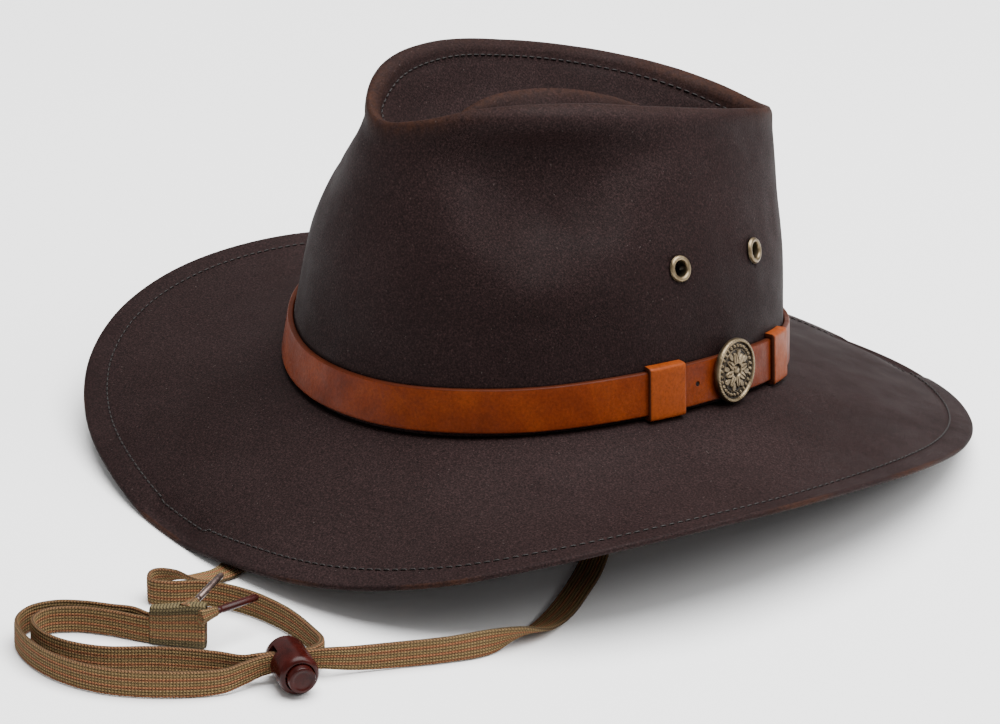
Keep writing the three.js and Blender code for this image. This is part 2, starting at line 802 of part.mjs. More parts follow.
const lockAxis = new THREE.Vector3(Math.sin(radians(lockYaw)), Math.cos(radians(lockYaw)), 0);

function lockBarrelGeometry() {
  const edge = 1.2;
  const bore = buttonRadius + clearance;
  const barrel = lathe([
    [0, 0],
    [lockRadius - edge, 0],
    [lockRadius, edge],
    [lockRadius, lockLength - edge],
    [lockRadius - edge, lockLength],
    [bore, lockLength],
    [bore, lockBoreStation],
    [0, lockBoreStation],
  ], 20);
  const slotLength = 2 * laceThickness + 6 * clearance;
  const slotHeight = laceWidth + 2.5 * clearance;
  const slot = new THREE.BoxGeometry(slotHeight, 3 * lockRadius, slotLength);
  slot.translate(0, 0, lockSlotStation);
  return fromManifold(toManifold(barrel).subtract(toManifold(slot)));
}

function buttonGeometry() {
  const inner = lockBoreStation + buttonTravel + clearance;
  const face = lockLength + buttonProud - 0.2;
  const edge = 0.8;
  const rim = 0.5;
  const dish = 0.3;
  return lathe([
    [0, inner],
    [buttonRadius, inner],
    [buttonRadius, face - edge],
    [buttonRadius - edge, face],
    [buttonRadius - edge - rim, face],
    [buttonRadius - edge - rim - dish, face - dish],
    [0, face],
  ], 20);
}

function addLockPiece(name, geometry) {
  const mesh = addMesh(name, geometry.translate(0, 0, -lockLength / 2), 'lock');
  mesh.position.set(lockPlace.x, lockPlace.y, lockRadius);
  mesh.quaternion.setFromRotationMatrix(new THREE.Matrix4().makeBasis(
    new THREE.Vector3(0, 0, 1),
    lockAxis.clone().cross(new THREE.Vector3(0, 0, 1)),
    lockAxis,
  ));
}

// Folded end of the laces, with two horns that the aglets end

function knotGeometry() {
  const bevel = 1.5;
  const corner = 1.5;
  const slope = 2;
  const [halfLength, top] = [knot.length / 2 - bevel, knot.height - bevel];
  const outline = new THREE.Shape([
    new THREE.Vector2(-halfLength, bevel),
    new THREE.Vector2(halfLength, bevel),
    new THREE.Vector2(halfLength, top - corner),
    new THREE.Vector2(halfLength - corner, top),
    new THREE.Vector2(corner - halfLength, top - slope),
    new THREE.Vector2(-halfLength, top - slope - corner),
  ]);
  const block = new THREE.ExtrudeGeometry(outline, {
    depth: knot.depth - 2 * bevel,
    bevelSize: bevel,
    bevelThickness: bevel,
    bevelSegments: 2,
  });
  block.translate(0, 0, bevel - knot.depth / 2).rotateX(Math.PI / 2);
  block.rotateZ(radians(knot.yaw)).translate(knot.place[0], knot.place[1], 0);
  let solid = toManifold(block);
  for (const aglet of Object.values(aglets)) {
    const start = new THREE.Vector3(...aglet.from);
    const heading = new THREE.Vector3(...aglet.to).sub(start).normalize();
    const horn = new THREE.CylinderGeometry(aglet.radius, hornRadius, hornLength, 10);
    horn.rotateX(Math.PI / 2).translate(0, 0, -hornLength / 2 - clearance);
    solid = solid.add(toManifold(placed(horn, start, heading)));
  }
  return fromManifold(solid);
}

function agletGeometry({ from, to, radius }) {
  const start = new THREE.Vector3(...from);
  const run = new THREE.Vector3(...to).sub(start);
  const length = run.length();
  const bevel = 0.5;
  const tube = lathe([
    [0, 0],
    [radius, 0],
    [radius, length - bevel],
    [radius - bevel, length],
    [0, length],
  ], 10);
  return placed(tube, start, run.normalize());
}

// The hat

const crownParts = crownRings();
addMesh('crown_side', crownSideGeometry(crownParts.side), 'cloth');
addMesh('crown_top', welded(clothShell(crownParts.top)), 'cloth');
addMesh('brim', facingOut(brimGeometry()), 'cloth');
addMesh('band', facingOut(bandGeometry()), 'leather');
for (const [name, angle] of Object.entries(keeperAngles)) {
  addMesh(name, keeperGeometry(angle), 'leather');
}
addConcho();
for (const place of eyeletPlaces()) {
  const mesh = addMesh(place.name, eyeletGeometry(), 'brass');
  mesh.position.copy(place.point);
  mesh.quaternion.setFromUnitVectors(new THREE.Vector3(0, 0, 1), place.normal);
}
addMesh('lace_right', laceGeometry(laceRight), 'lace');
addMesh('lace_left', laceGeometry(laceLeft), 'lace');
addMesh('lace_knot', knotGeometry(), 'lace');
for (const [name, aglet] of Object.entries(aglets)) {
  addMesh(name, agletGeometry(aglet), name === 'aglet_metal' ? 'steel' : 'lock');
}
addLockPiece('lock_barrel', lockBarrelGeometry());
addLockPiece('lock_button', buttonGeometry());

export default group;
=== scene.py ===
"""Bush hat: waxed cotton crown and brim, leather band with two keepers and a cast concho,
brass vent eyelets, and a flat woven chin lace with a sprung cord lock.

Lengths here are millimetres, as in the part's source, and become metres in the meshes.
Angles run round the head from the back (0) to the front (180); the wearer's left is +."""

import itertools
import math

import bpy
import numpy as np
from mathutils import Matrix, Vector, noise


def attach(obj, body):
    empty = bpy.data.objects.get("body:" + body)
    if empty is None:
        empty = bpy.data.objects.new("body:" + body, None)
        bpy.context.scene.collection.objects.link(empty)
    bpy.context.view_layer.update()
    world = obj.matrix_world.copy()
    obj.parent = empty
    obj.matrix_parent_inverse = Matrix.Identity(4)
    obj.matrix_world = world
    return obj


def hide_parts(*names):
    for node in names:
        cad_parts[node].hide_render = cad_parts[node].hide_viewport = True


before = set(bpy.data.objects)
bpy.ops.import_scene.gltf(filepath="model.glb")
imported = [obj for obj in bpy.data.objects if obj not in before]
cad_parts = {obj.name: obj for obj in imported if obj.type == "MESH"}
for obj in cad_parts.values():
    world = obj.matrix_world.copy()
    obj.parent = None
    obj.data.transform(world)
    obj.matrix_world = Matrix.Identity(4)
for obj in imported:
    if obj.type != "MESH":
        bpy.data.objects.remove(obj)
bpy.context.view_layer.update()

MM = 0.001
HAT = "hat"
BUTTON = "lock_button"

# Camera, fitted to the photograph, and studio in metres
CAMERA_AZIMUTH = 55.22
CAMERA_ELEVATION = 21.95
CAMERA_ROLL = 2.03
CAMERA_LENS = 139.07
CAMERA_DISTANCE = 1.5
CAMERA_TARGET = (-0.0098, -0.0192, 0.0344)
FLOOR_HALF = 5
FLOOR_DROP = 0.0002
WORLD_STRENGTH = 0.5
LIGHTS = {
    "overhead": ((0.25, 0.3, 2.3), (0, 0, 0), 2.6, 190),
    "key": ((1.5, 1.2, 1.6), (0, 0, 0.08), 1.2, 26),
}

# Cloth, leather and the gap between pieces
CLOTH = 2.0
LEATHER = 2.2
KEEPER = 1.4
GAP = 0.3

# Brim, with a place on its edge that droops and one that is pulled in
BRIM_LENGTH = 348
BRIM_WIDTH = 326
BRIM_LIFT = 39
REST_FLATTEN = 1.2
FAR_DROP = 1.4
FAR_ANGLE = -112
FAR_SPAN = 18
BACK_PULL = 3.2
BACK_ANGLE = -8
BACK_SPAN = 16
COLLAR = 12

# Crown
HEAD_LENGTH = 203.2
HEAD_WIDTH = 170
HEAD_FORWARD = 5.7
HEAD_EGG = 0.05
SEAM_FRONT = 38.2
SEAM_SIDE = 44.7
SEAM_BACK = 28.2
CROWN_HEIGHT = 114.3
CREST_LENGTH = 175
CREST_WIDTH = 95
CREST_BACKWARD = 9.2
SHOULDER = 7
SPINE_LENGTH = 110
BASIN_DEPTH = 26
DENT_DEPTH = 14
DENT_ANGLE = 120
DENT_SPAN = 47
DENT_TOP = 0.955
DENT_DEEPEST = 0.81
DENT_REACH = 0.36
DENT_LIP = 0.26

# Band, keepers, concho and eyelets
BAND_HEIGHT = 16.2
BAND_SWAY = 0.15
BAND_RISE = KEEPER + 2 * GAP
BAND_MIDDLE = BAND_RISE + BAND_HEIGHT / 2
KEEPER_WIDTH = 16.2
KEEPER_ROUNDING = 0.28
KEEPER_ANGLES = {"keeper_front": 93.3, "keeper_back": 51}
STRAP_HOLE_ANGLE = 84.6
STRAP_HOLE_RADIUS = 1.3
CONCHO_ANGLE = 73.6
CONCHO_RADIUS = 12.2
CONCHO_FIELD = 1.5
CONCHO_RELIEF = 0.88
CONCHO_DOME = 0.25
CONCHO_LIFT = 1.9
CONCHO_BEADS = 28
CONCHO_LEAVES = 8
BEAD_RING = 0.77
EYELET_RISE = 52.3
EYELET_ANGLES = {"front": 87.8, "back": 60.5}
EYELET_SEAT = 0.5
EYELET_HOLE = 3
EYELET_BARREL = 3.5
EYELET_CLEAR = 0.9
EYELET_FLANGE = 5
EYELET_ROLL = 0.95

# Chin lace, cord lock and tips
LACE_WIDTH = 10
LACE_THICKNESS = 1.6
LACE_RIBS = 9
WEFT_PITCH = 1.15
SQUEEZE_NARROWER = 0.3
SQUEEZE_THICKER = 0.6
SQUEEZE_REACH = 20
LOCK_RADIUS = 7.25
LOCK_LENGTH = 20
LOCK_SLOT = 6.5
LOCK_BORE = 11
LOCK_YAW = 104
LOCK_PLACE = (128, -196.5)
BUTTON_RADIUS = 4.8
BUTTON_TRAVEL = 2.5
BUTTON_PROUD = 3
KNOT_PLACE = (82.1, -214.6)
KNOT_YAW = 48
KNOT_LENGTH = 20
KNOT_DEPTH = 7
KNOT_HEIGHT = 17
KNOT_RIBS = 7
KNOT_CREASE = 0.16
TAIL_LENGTH = 8
TAIL_ROOT = 3
TAIL_FOLDS = 6
TIPS = {
    "aglet_metal": ((80.6, -206.6, 14.2), (70.6, -190.6, 16.4), 1.4),
    "aglet_plastic": ((88, -202.8, 12.4), (84.9, -184.6, 12.2), 1.6),
}

# Stitching
STITCH_PITCH = 3.4
STITCH_LENGTH = 2.5
BRIM_STITCH_INSET = 10
CREST_STITCH_INSET = 8.5
STITCH_ARCH = [(-0.5, -0.35), (-0.42, 0.12), (-0.2, 0.3), (0.2, 0.3), (0.42, 0.12), (0.5, -0.35)]
THREAD_RADIUS = 0.32
THREAD_SIDES = 6

# Pressed seams, unevenness and wear of the cloth
CREST_GROOVE = 0.75
CREST_PUFF = 0.5
CROWN_CALM = (22, 45)
BRIM_GROOVE = 0.3
BRIM_HEM = 0.12
WORN_FRONT = (120, 165)
WORN_BACK = (35, 70)
WORN_CREST_WIDTH = 5.5
WORN_RIDGE_WIDTH = 3.2
WORN_CORNER_ANGLE = 62

# Brim edge in 15 degree steps from back to front, as shares of half the brim's width,
# half its length and its lift
EDGE_ACROSS = [0, 0.247, 0.479, 0.68, 0.839, 0.947, 0.998, 0.985, 0.904, 0.756, 0.545, 0.285, 0]
EDGE_ALONG = [1, 0.962, 0.851, 0.672, 0.436, 0.163, -0.121, -0.39, -0.618, -0.793, -0.911, -0.978, -1]
EDGE_LIFT = [0, 0.065, 0.19, 0.4, 0.65, 0.87, 0.99, 0.965, 0.8, 0.54, 0.29, 0.122, 0]

# Brim section from the seam (0) to the edge (1)
SECTION_OUT = [0, 0.16, 0.36, 0.58, 0.79, 0.94, 1]
SECTION_SAG = [0, 0.55, 0.95, 0.98, 0.65, 0.22, 0]
SIDE_SAG = 0.13
END_SAG = -0.05

# Crown crest in 22.5 degree steps: shares of the crown height, of the shoulder radius
# and of the basin depth
CREST_HEIGHT = [0.86, 0.873, 0.889, 0.906, 0.935, 0.98, 0.997, 0.971, 0.95]
SHOULDER_OUT = [0.21, 0.21, 0.29, 0.71, 1, 1, 0.57, 0.21, 0.21]
TROUGH_DEPTH = [0.5, 0.62, 0.72, 0.82, 0.86, 0.86, 0.8, 0.6, 0.45]
RIDGE_DEPTH = [0.22, 0.26, 0.27, 0.25, 0.26, 0.33, 0.33, 0.28, 0.26]

# Crown wall from the seam up to the crest: height, lean to the shoulder, roll to the crest
WALL = [
    (0, 0, 0), (0.09, 0.05, 0), (0.18, 0.1, 0), (0.32, 0.19, 0), (0.46, 0.3, 0),
    (0.56, 0.44, 0), (0.65, 0.6, 0), (0.73, 0.72, 0), (0.8, 0.82, 0), (0.86, 0.905, 0),
    (0.92, 1, 0), (0.958, 1, 0.14), (0.986, 1, 0.42), (1, 1, 1),
]

# Crown top from the crest in to the spine: way in, share of trough, share of ridge
BASIN = [
    (0.09, 0.08, 0.02), (0.2, 0.4, 0.1), (0.34, 0.78, 0.25), (0.5, 1, 0.5),
    (0.67, 0.82, 0.76), (0.83, 0.36, 0.93), (0.94, 0.07, 0.99), (1, 0, 1),
]

# Chin lace: x, y, z of its middle, and its turn from lying flat (0) to on edge (90).
# A row with x and y alone stands on edge on the surface. Both halves share the stretch
# inside the crown, mirrored.
ON_EDGE = (5.1, 90)
LACE_INSIDE = [
    (0.6, 89.5, 34.2, 90), (18.4, 86.1, 35.3, 90), (35.5, 75.9, 37.9, 90),
    (50.4, 60.2, 41.4, 90), (63, 40.5, 45.3, 90), (71.3, 18.2, 48.2, 90), (75, -2.3, 47.7, 90),
]
LACE_RIGHT = [
    *[(-x, *rest) for x, *rest in LACE_INSIDE],
    (-75.5, -16, 38, 70), (-68, -30, 19, 35), (-56, -45, 5.8, 8),
    (-40, -64, 1, 0), (-22, -88, 1, 0), (-4, -112, 1, 0), (14, -136, 1, 0),
    (31, -157.5, 0.95, 0), (41.5, -172.5, 0.95, 0), (42.5, -184, 1.9, 10),
    (41, -194, 4.4, 45), (43, -203), (49, -207), (54.5, -202),
    (60, -191.5), (73, -182.5), (92, -177.5),
    (110, -177.5), (121.5, -180.5, 6.4, 90), (125.8, -186.7, 7.25, 90),
    (121.4, -204.2, 7.25, 90), (118.5, -210, 6.2, 90), (110.5, -215.5),
    (98, -231), (88, -247.5), (77, -256.3), (65.5, -259.6),
    (56, -257.3), (52.3, -249.8), (55.8, -240.5), (64, -231.8),
    (75.7, -222.9), (79.2, -218.6),
]
LACE_LEFT = [
    *LACE_INSIDE,
    (78, -15, 38, 70), (82, -29, 19, 35), (91, -41, 5.8, 8),
    (103, -54, 1, 0), (117, -70, 1, 0), (130, -87, 1, 0), (139, -102, 2.4, 15),
    (143, -115, 4.9, 55), (143.5, -127), (141, -142),
    (136, -158), (131.5, -173, 5.6, 90), (127.8, -187.2, 7.25, 90),
    (123.4, -204.6, 7.25, 90), (123.2, -212, 6.2, 90), (123, -221),
    (114, -241), (101, -256), (84, -264.5), (66, -266),
    (53.5, -262.3), (47.5, -254), (48, -244.5), (53.3, -236),
    (60.5, -229), (66, -223.5), (73.2, -220.9),
    (77.8, -218),
]

# Mesh density
TURN_STEPS = 288
CLOTH_STEP = 2.1
LACE_STEP = 1.2


# Camera

def link_object(name, data):
    made = bpy.data.objects.new(name, data)
    bpy.context.collection.objects.link(made)
    return made


def add_camera():
    azimuth, elevation, roll = map(math.radians, (CAMERA_AZIMUTH, CAMERA_ELEVATION, CAMERA_ROLL))
    back = Vector((
        math.cos(elevation) * math.sin(azimuth),
        -math.cos(elevation) * math.cos(azimuth),
        math.sin(elevation),
    ))
    level = Vector((math.cos(azimuth), math.sin(azimuth), 0))
    right = level * math.cos(roll) + back.cross(level) * math.sin(roll)
    facing = Matrix((right, back.cross(right), back)).transposed().to_4x4()
    data = bpy.data.cameras.new("camera")
    data.sensor_width = 36
    data.lens = CAMERA_LENS
    camera = link_object("camera", data)
    camera.matrix_world = Matrix.Translation(Vector(CAMERA_TARGET) + CAMERA_DISTANCE * back) @ facing
    bpy.context.scene.camera = camera


add_camera()


# Numbers

def unit(vectors):
    return vectors / np.maximum(np.linalg.norm(vectors, axis=-1, keepdims=True), 1e-9)


def columns(*values):
    return np.stack(np.broadcast_arrays(*values), axis=-1)


def arc_lengths(points):
    """The way along the first axis of an array of points, up to each point."""
    steps = np.linalg.norm(np.diff(points, axis=0, prepend=points[:1]), axis=-1)
    return np.cumsum(steps, axis=0)


def smooth_step(value, low, high):
    share = np.clip((value - low) / (high - low), 0, 1)
    return share * share * (3 - 2 * share)


def bell(value, middle, width):
    """A smooth hump, 1 high at its middle."""
    return np.exp(-((value - middle) / width) ** 2)


def round_turn(count):
    return np.arange(count) * 2 * math.pi / count


def table_value(values, angle, parity=1):
    """A smooth value from an evenly spaced table over 0 to 180 degrees, mirrored below 0."""
    values = np.asarray(values, float)
    last = len(values) - 1
    place = np.abs(angle) / 180 * last
    row = np.minimum(place.astype(int), last - 1)
    t = place - row
    padded = np.concatenate([[parity * values[1]], values, [parity * values[last - 1]]])
    a, b, c, d = (padded[row + step] for step in range(4))
    bend = t * t * (2 * a - 5 * b + 4 * c - d) + t ** 3 * (3 * b - a - 3 * c + d)
    return np.where(angle < 0, parity, 1) * (b + 0.5 * (t * (c - a) + bend))


def through_points(points, step):
    """Smooth curves through rows of points (last axis: coordinates, axis -2: the rows),
    with about one sample per step of length."""
    points = np.asarray(points, float)
    chords = np.maximum(np.linalg.norm(np.diff(points[..., :3], axis=-2), axis=-1), 1e-6)
    knots = np.sqrt(chords)[..., None]
    slopes = np.diff(points, axis=-2) / knots
    before, after = knots[..., :-1, :], knots[..., 1:, :]
    inner = (slopes[..., :-1, :] * after + slopes[..., 1:, :] * before) / (before + after)
    tangents = np.concatenate([slopes[..., :1, :], inner, slopes[..., -1:, :]], axis=-2)
    typical = chords.reshape(-1, chords.shape[-1]).mean(axis=0)
    samples = []
    for row, length in enumerate(typical):
        count = max(1, round(length / step))
        low, high = points[..., row, :], points[..., row + 1, :]
        reach = knots[..., row, :]
        leave, arrive = tangents[..., row, :] * reach, tangents[..., row + 1, :] * reach
        for part in range(count):
            t = part / count
            samples.append(
                (2 * t ** 3 - 3 * t ** 2 + 1) * low + (t ** 3 - 2 * t ** 2 + t) * leave
                + (3 * t ** 2 - 2 * t ** 3) * high + (t ** 3 - t ** 2) * arrive
            )
    samples.append(points[..., -1, :])
    return np.stack(samples, axis=-2)


def turn_angles(count=TURN_STEPS):
    return np.arange(count) * 360 / count - 180


# Meshes

def grid_faces(rings, size, close_strip=False, start=0):
    """Quads between closed rings of points; a closed strip joins its last ring to its first."""
    ring = np.arange(rings if close_strip else rings - 1)[:, None]
    side = np.arange(size)[None, :]
    low, high = start + ring * size, start + (ring + 1) % rings * size
    quads = [low + side, low + (side + 1) % size, high + (side + 1) % size, high + side]
    return columns(*quads).reshape(-1, 4)


def tube_faces(steps, size, start=0):
    """Faces of a tube of rings, with one face over each end."""
    last = start + (steps - 1) * size
    faces = grid_faces(steps, size, start=start).tolist()
    faces.append(list(range(start, start + size)))
    faces.append(list(range(last + size - 1, last - 1, -1)))
    return faces


def new_mesh(name, points, faces):
    mesh = bpy.data.meshes.new(name)
    points = np.asarray(points).reshape(-1, 3).tolist()
    mesh.from_pydata(points, [], [list(map(int, face)) for face in faces])
    return mesh


def add_piece(name, points, faces, finish, replaced=(), masks=None, body=HAT, sharp=None):
    """A mesh piece from points in millimetres, facing out, with its finish and its body."""
    mesh = new_mesh(name, np.asarray(points) * MM, faces)
    for mask, values in (masks or {}).items():
        layer = mesh.attributes.new(mask, "FLOAT", "POINT")
        layer.data.foreach_set("value", np.asarray(values, np.float32))
    mesh.polygons.foreach_set("use_smooth", [True] * len(mesh.polygons))
    if sharp:
        mesh.set_sharp_from_angle(angle=math.radians(sharp))
    piece = link_object(name, mesh)
    mesh.materials.append(finish)
    face_out(mesh)
    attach(piece, body)
    if replaced:
        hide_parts(*replaced)
    return piece


def face_out(mesh):
    """Turns a closed mesh inside out if its volume comes out negative."""
    mesh.calc_loop_triangles()
    corners = np.empty(3 * len(mesh.loop_triangles), int)
    mesh.loop_triangles.foreach_get("vertices", corners)
    places = np.empty(3 * len(mesh.vertices))
    mesh.vertices.foreach_get("co", places)
    a, b, c = places.reshape(-1, 3)[corners.reshape(-1, 3)].transpose(1, 0, 2)
    if np.sum(a * np.cross(b, c)) < 0:
        mesh.flip_normals()


def placed(points, origin, axis):
    """Points of a shape made along +Z, turned to an axis and moved to an origin."""
    turn = np.array(Vector((0, 0, 1)).rotation_difference(Vector(axis)).to_matrix())
    return points @ turn.T + np.asarray(origin)


def round_rings(profile, sides):
    """A round ring of points for each row of radius and height."""
    turn = round_turn(sides)
    radii, heights = np.asarray(profile, float).T[..., None]
    return columns(radii * np.cos(turn), radii * np.sin(turn), heights)


def capped_rings(rings, first, last):
    """Points and faces of a solid through rings of points, closed by fans to two end points."""
    count, sides = rings.shape[:2]
    points = np.concatenate([rings.reshape(-1, 3), [first, last]])
    faces = grid_faces(count, sides).tolist()
    low, high, start = len(points) - 2, len(points) - 1, (count - 1) * sides
    for side in range(sides):
        following = (side + 1) % sides
        faces.append([low, following, side])
        faces.append([high, start + side, start + following])
    return points, faces


def lathe(profile, sides):
    """Points and faces of a round solid from rows of radius and height. A profile that
    starts on the axis ends on it too, and any other closes on itself."""
    first, last = profile[0], profile[-1]
    if first[0] == 0:
        return capped_rings(round_rings(profile[1:-1], sides), (0, 0, first[1]), (0, 0, last[1]))
    rings = round_rings(profile, sides)
    return rings.reshape(-1, 3), grid_faces(*rings.shape[:2], close_strip=True).tolist()


def tube(path, sections, normals, binormals):
    """A closed tube: section points (across, along the binormal) swept along a path."""
    across, through = sections[..., :1], sections[..., 1:]
    points = path[:, None] + across * normals[:, None] + through * binormals[:, None]
    return points.reshape(-1, 3), tube_faces(*points.shape[:2])


# Finishes

class Finish:
    """A material whose shader's sockets and procedural inputs are set one by one."""

    def __init__(self, name, **sockets):
        self.material = bpy.data.materials.new(name)
        self.material.use_nodes = True
        self.nodes = self.material.node_tree.nodes
        self.links = self.material.node_tree.links
        self.shader = self.nodes["Principled BSDF"]
        self.coordinates = self.nodes.new("ShaderNodeTexCoord").outputs["Object"]
        for socket, value in sockets.items():
            self.shader.inputs[socket.replace("_", " ")].default_value = value

    def node(self, kind, links=None, **settings):
        made = self.nodes.new(kind)
        for key, value in settings.items():
            setattr(made, key, value)
        for socket, source in (links or {}).items():
            target = made.inputs[socket]
            if isinstance(source, bpy.types.NodeSocket):
                self.links.new(source, target)
            else:
                target.default_value = source
        return made

    def noise(self, scale, detail=2.0, roughness=0.5, distortion=0.0):
        return self.node("ShaderNodeTexNoise", {
            "Vector": self.coordinates, "Scale": scale, "Detail": detail,
            "Roughness": roughness, "Distortion": distortion,
        }).outputs["Fac"]

    def cells(self, scale):
        sockets = {"Vector": self.coordinates, "Scale": scale}
        return self.node("ShaderNodeTexVoronoi", sockets).outputs["Distance"]

    def mask(self, name):
        return self.node("ShaderNodeAttribute", attribute_name=name).outputs["Fac"]

    def ramp(self, source, *stops):
        made = self.node("ShaderNodeValToRGB", {"Fac": source})
        elements = made.color_ramp.elements
        while len(elements) < len(stops):
            elements.new(0.5)
        for element, (place, colour) in zip(elements, stops):
            element.position = place
            element.color = (*colour, 1) if isinstance(colour, tuple) else (colour, colour, colour, 1)
        return made.outputs["Color"]

    def mottle(self, noise, *stops):
        """A ramp over noise of a scale, detail, roughness and distortion."""
        return self.ramp(self.noise(*noise), *stops)

    def math(self, operation, *values):
        return self.node("ShaderNodeMath", dict(enumerate(values)), operation=operation).outputs[0]

    def times(self, first, second):
        return self.math("MULTIPLY", first, second)

    def blend(self, share, first, second, kind="MIX"):
        """One colour mixed into another by a share."""
        first, second = (
            colour if isinstance(colour, bpy.types.NodeSocket) else (*colour, 1) for colour in (first, second)
        )
        sockets = {0: share, 6: first, 7: second}
        return self.node("ShaderNodeMix", sockets, data_type="RGBA", blend_type=kind).outputs[2]

    def bump(self, height, distance, strength=1.0, under=None):
        sources = {"Height": height, "Distance": distance * MM, "Strength": strength}
        if under:
            sources["Normal"] = under
        return self.node("ShaderNodeBump", sources).outputs["Normal"]

    def use(self, colour=None, roughness=None, normal=None):
        for socket, source in (("Base Color", colour), ("Roughness", roughness), ("Normal", normal)):
            if source:
                self.links.new(source, self.shader.inputs[socket])
        return self.material


def cloth_finish():
    """Waxed cotton: a dense weave, a dusty grain, stray pale specks and worn edges."""
    finish = Finish("waxed_cotton", Specular_IOR_Level=0.06)
    tone = finish.mottle((16, 3), (0.35, (0.0112, 0.0056, 0.0054)), (0.68, (0.0158, 0.0085, 0.0083)))
    grain = finish.mottle((1350, 3, 0.75), (0.3, 0.25), (0.52, 0.95), (0.72, 2.3))
    base = finish.blend(1.0, tone, grain, "MULTIPLY")
    rubbed = finish.mottle((420, 3, 0.7), (0.35, 0.2), (0.7, 1.0))
    worn = finish.times(finish.mask("wear"), rubbed)
    base = finish.blend(worn, base, (0.04, 0.0155, 0.008))
    specks = finish.mottle((980, 1, 0.4), (0.76, 0.0), (0.81, 1.0))
    base = finish.blend(finish.times(specks, 0.5), base, (0.085, 0.066, 0.06))
    roughness = finish.mottle((60, 3), (0.3, 0.6), (0.7, 0.75))
    weave = finish.bump(finish.noise(1500, 3, 0.7), 0.24, 0.8)
    waves = finish.bump(finish.noise(26, 2), 1.0, 0.3, weave)
    return finish.use(base, roughness, waves)


def leather_finish(hole):
    """Tan strap leather: mottled orange brown, darker and smoother at its burnished edges, with painted
    shade on the keepers' inner faces, painted paler on the keepers for the light they catch, and with one
    small punched hole at a place in metres, painted near black for the shade inside it."""
    finish = Finish("tan_leather", Specular_IOR_Level=0.1)
    tone = finish.mottle(
        (38, 4, 0.6, 0.4),
        (0.3, (0.075, 0.0095, 0.0004)), (0.52, (0.115, 0.0165, 0.0008)), (0.75, (0.165, 0.029, 0.002)),
    )
    # Painted light: the keepers, which face the light from the right, are painted paler than the band.
    light = finish.times(finish.mask("pale"), 0.6)
    tone = finish.blend(light, tone, (0.215, 0.042, 0.004))
    fibre = finish.mottle((900, 3, 0.7), (0.3, 0.75), (0.7, 1.2))
    base = finish.blend(1.0, tone, fibre, "MULTIPLY")
    scuffs = finish.mottle((120, 5, 0.75, 1.2), (0.6, 0.0), (0.72, 1.0))
    base = finish.blend(finish.times(scuffs, 0.45), base, (0.05, 0.007, 0.001))
    # The edge mask darkens the burnished cut edges, which is their own colour, and the keepers' inner faces,
    # which is painted shade where they lie over the band.
    base = finish.blend(finish.mask("edge"), base, (0.02, 0.0055, 0.0025))
    # Painted shade: the punched hole is a near black disc standing in for the shade inside it, sunk only by a
    # bump.
    away = finish.node("ShaderNodeVectorMath", {0: finish.coordinates, 1: hole}, operation="DISTANCE")
    reach = finish.math("DIVIDE", away.outputs["Value"], STRAP_HOLE_RADIUS * MM)
    punched = finish.ramp(reach, (0.55, 1.0), (0.85, 0.0))
    base = finish.blend(punched, base, (0.004, 0.002, 0.0015))
    roughness = finish.mottle((150, 3), (0.3, 0.4), (0.7, 0.56))
    pores = finish.bump(finish.cells(700), 0.09, 0.5)
    grain = finish.bump(finish.noise(260, 4, 0.65), 0.3, 0.35, pores)
    sunk = finish.bump(finish.math("SUBTRACT", 1.0, punched), 0.8, 1.0, grain)
    return finish.use(base, roughness, sunk)


def brass_finish():
    """Antique brass, bright where it is raised and nearly black in its recesses."""
    finish = Finish("antique_brass", Metallic=0.92)
    tone = finish.mottle((220, 4, 0.6), (0.35, (0.14, 0.1, 0.055)), (0.7, (0.26, 0.2, 0.12)))
    recess = finish.math("SUBTRACT", 1.0, finish.mask("raised"))
    base = finish.blend(recess, tone, (0.02, 0.016, 0.013))
    roughness = finish.mottle((500, 3), (0.3, 0.3), (0.7, 0.48))
    return finish.use(base, roughness, finish.bump(finish.noise(900, 3), 0.05, 0.5))


def lace_finish():
    """Woven lace: fine ribs crossed by a short weft, dull olive with drifting rust stripes."""
    finish = Finish("woven_lace", Specular_IOR_Level=0.15, Roughness=0.85)
    across, along = finish.mask("across"), finish.mask("along")
    drift = finish.times(finish.math("SUBTRACT", finish.noise(9, 2), 0.5), 1.5)
    stripe = finish.math("FRACT", finish.math("ADD", finish.times(across, 1.6), drift))
    tone = finish.ramp(
        stripe,
        (0.0, (0.1, 0.066, 0.028)), (0.22, (0.125, 0.08, 0.034)), (0.42, (0.165, 0.062, 0.028)),
        (0.6, (0.115, 0.052, 0.024)), (0.78, (0.125, 0.082, 0.036)), (1.0, (0.1, 0.066, 0.028)),
    )
    rim = finish.math("POWER", finish.math("ABSOLUTE", across), 8)
    tone = finish.blend(finish.times(rim, 0.7), tone, (0.062, 0.047, 0.022))
    rib = finish.math("FRACT", finish.times(finish.math("ADD", across, 1.0), LACE_RIBS / 2))
    slant = finish.math("PINGPONG", rib, 0.5)
    weft = finish.math("FRACT", finish.math("ADD", finish.math("DIVIDE", along, WEFT_PITCH), slant))
    weft_lift = finish.math("SINE", finish.times(weft, math.pi))
    rib_lift = finish.math("SINE", finish.times(rib, math.pi))
    lift = finish.times(weft_lift, finish.math("POWER", rib_lift, 0.7))
    shade = finish.ramp(lift, (0.0, 0.42), (0.45, 1.0), (0.9, 1.7))
    base = finish.blend(1.0, tone, shade, "MULTIPLY")
    fuzz = finish.mottle((2200, 2), (0.3, 0.75), (0.7, 1.25))
    base = finish.blend(1.0, base, fuzz, "MULTIPLY")
    return finish.use(base, None, finish.bump(lift, 0.35, 0.9))


def lock_finish():
    """Oxblood moulded plastic with a faint mottle."""
    finish = Finish("oxblood_plastic", Specular_IOR_Level=0.14)
    base = finish.mottle((150, 4, 0.6), (0.3, (0.012, 0.0013, 0.001)), (0.72, (0.034, 0.0036, 0.0022)))
    roughness = finish.mottle((300, 3), (0.3, 0.22), (0.7, 0.34))
    return finish.use(base, roughness, finish.bump(finish.noise(500, 3), 0.04, 0.35))


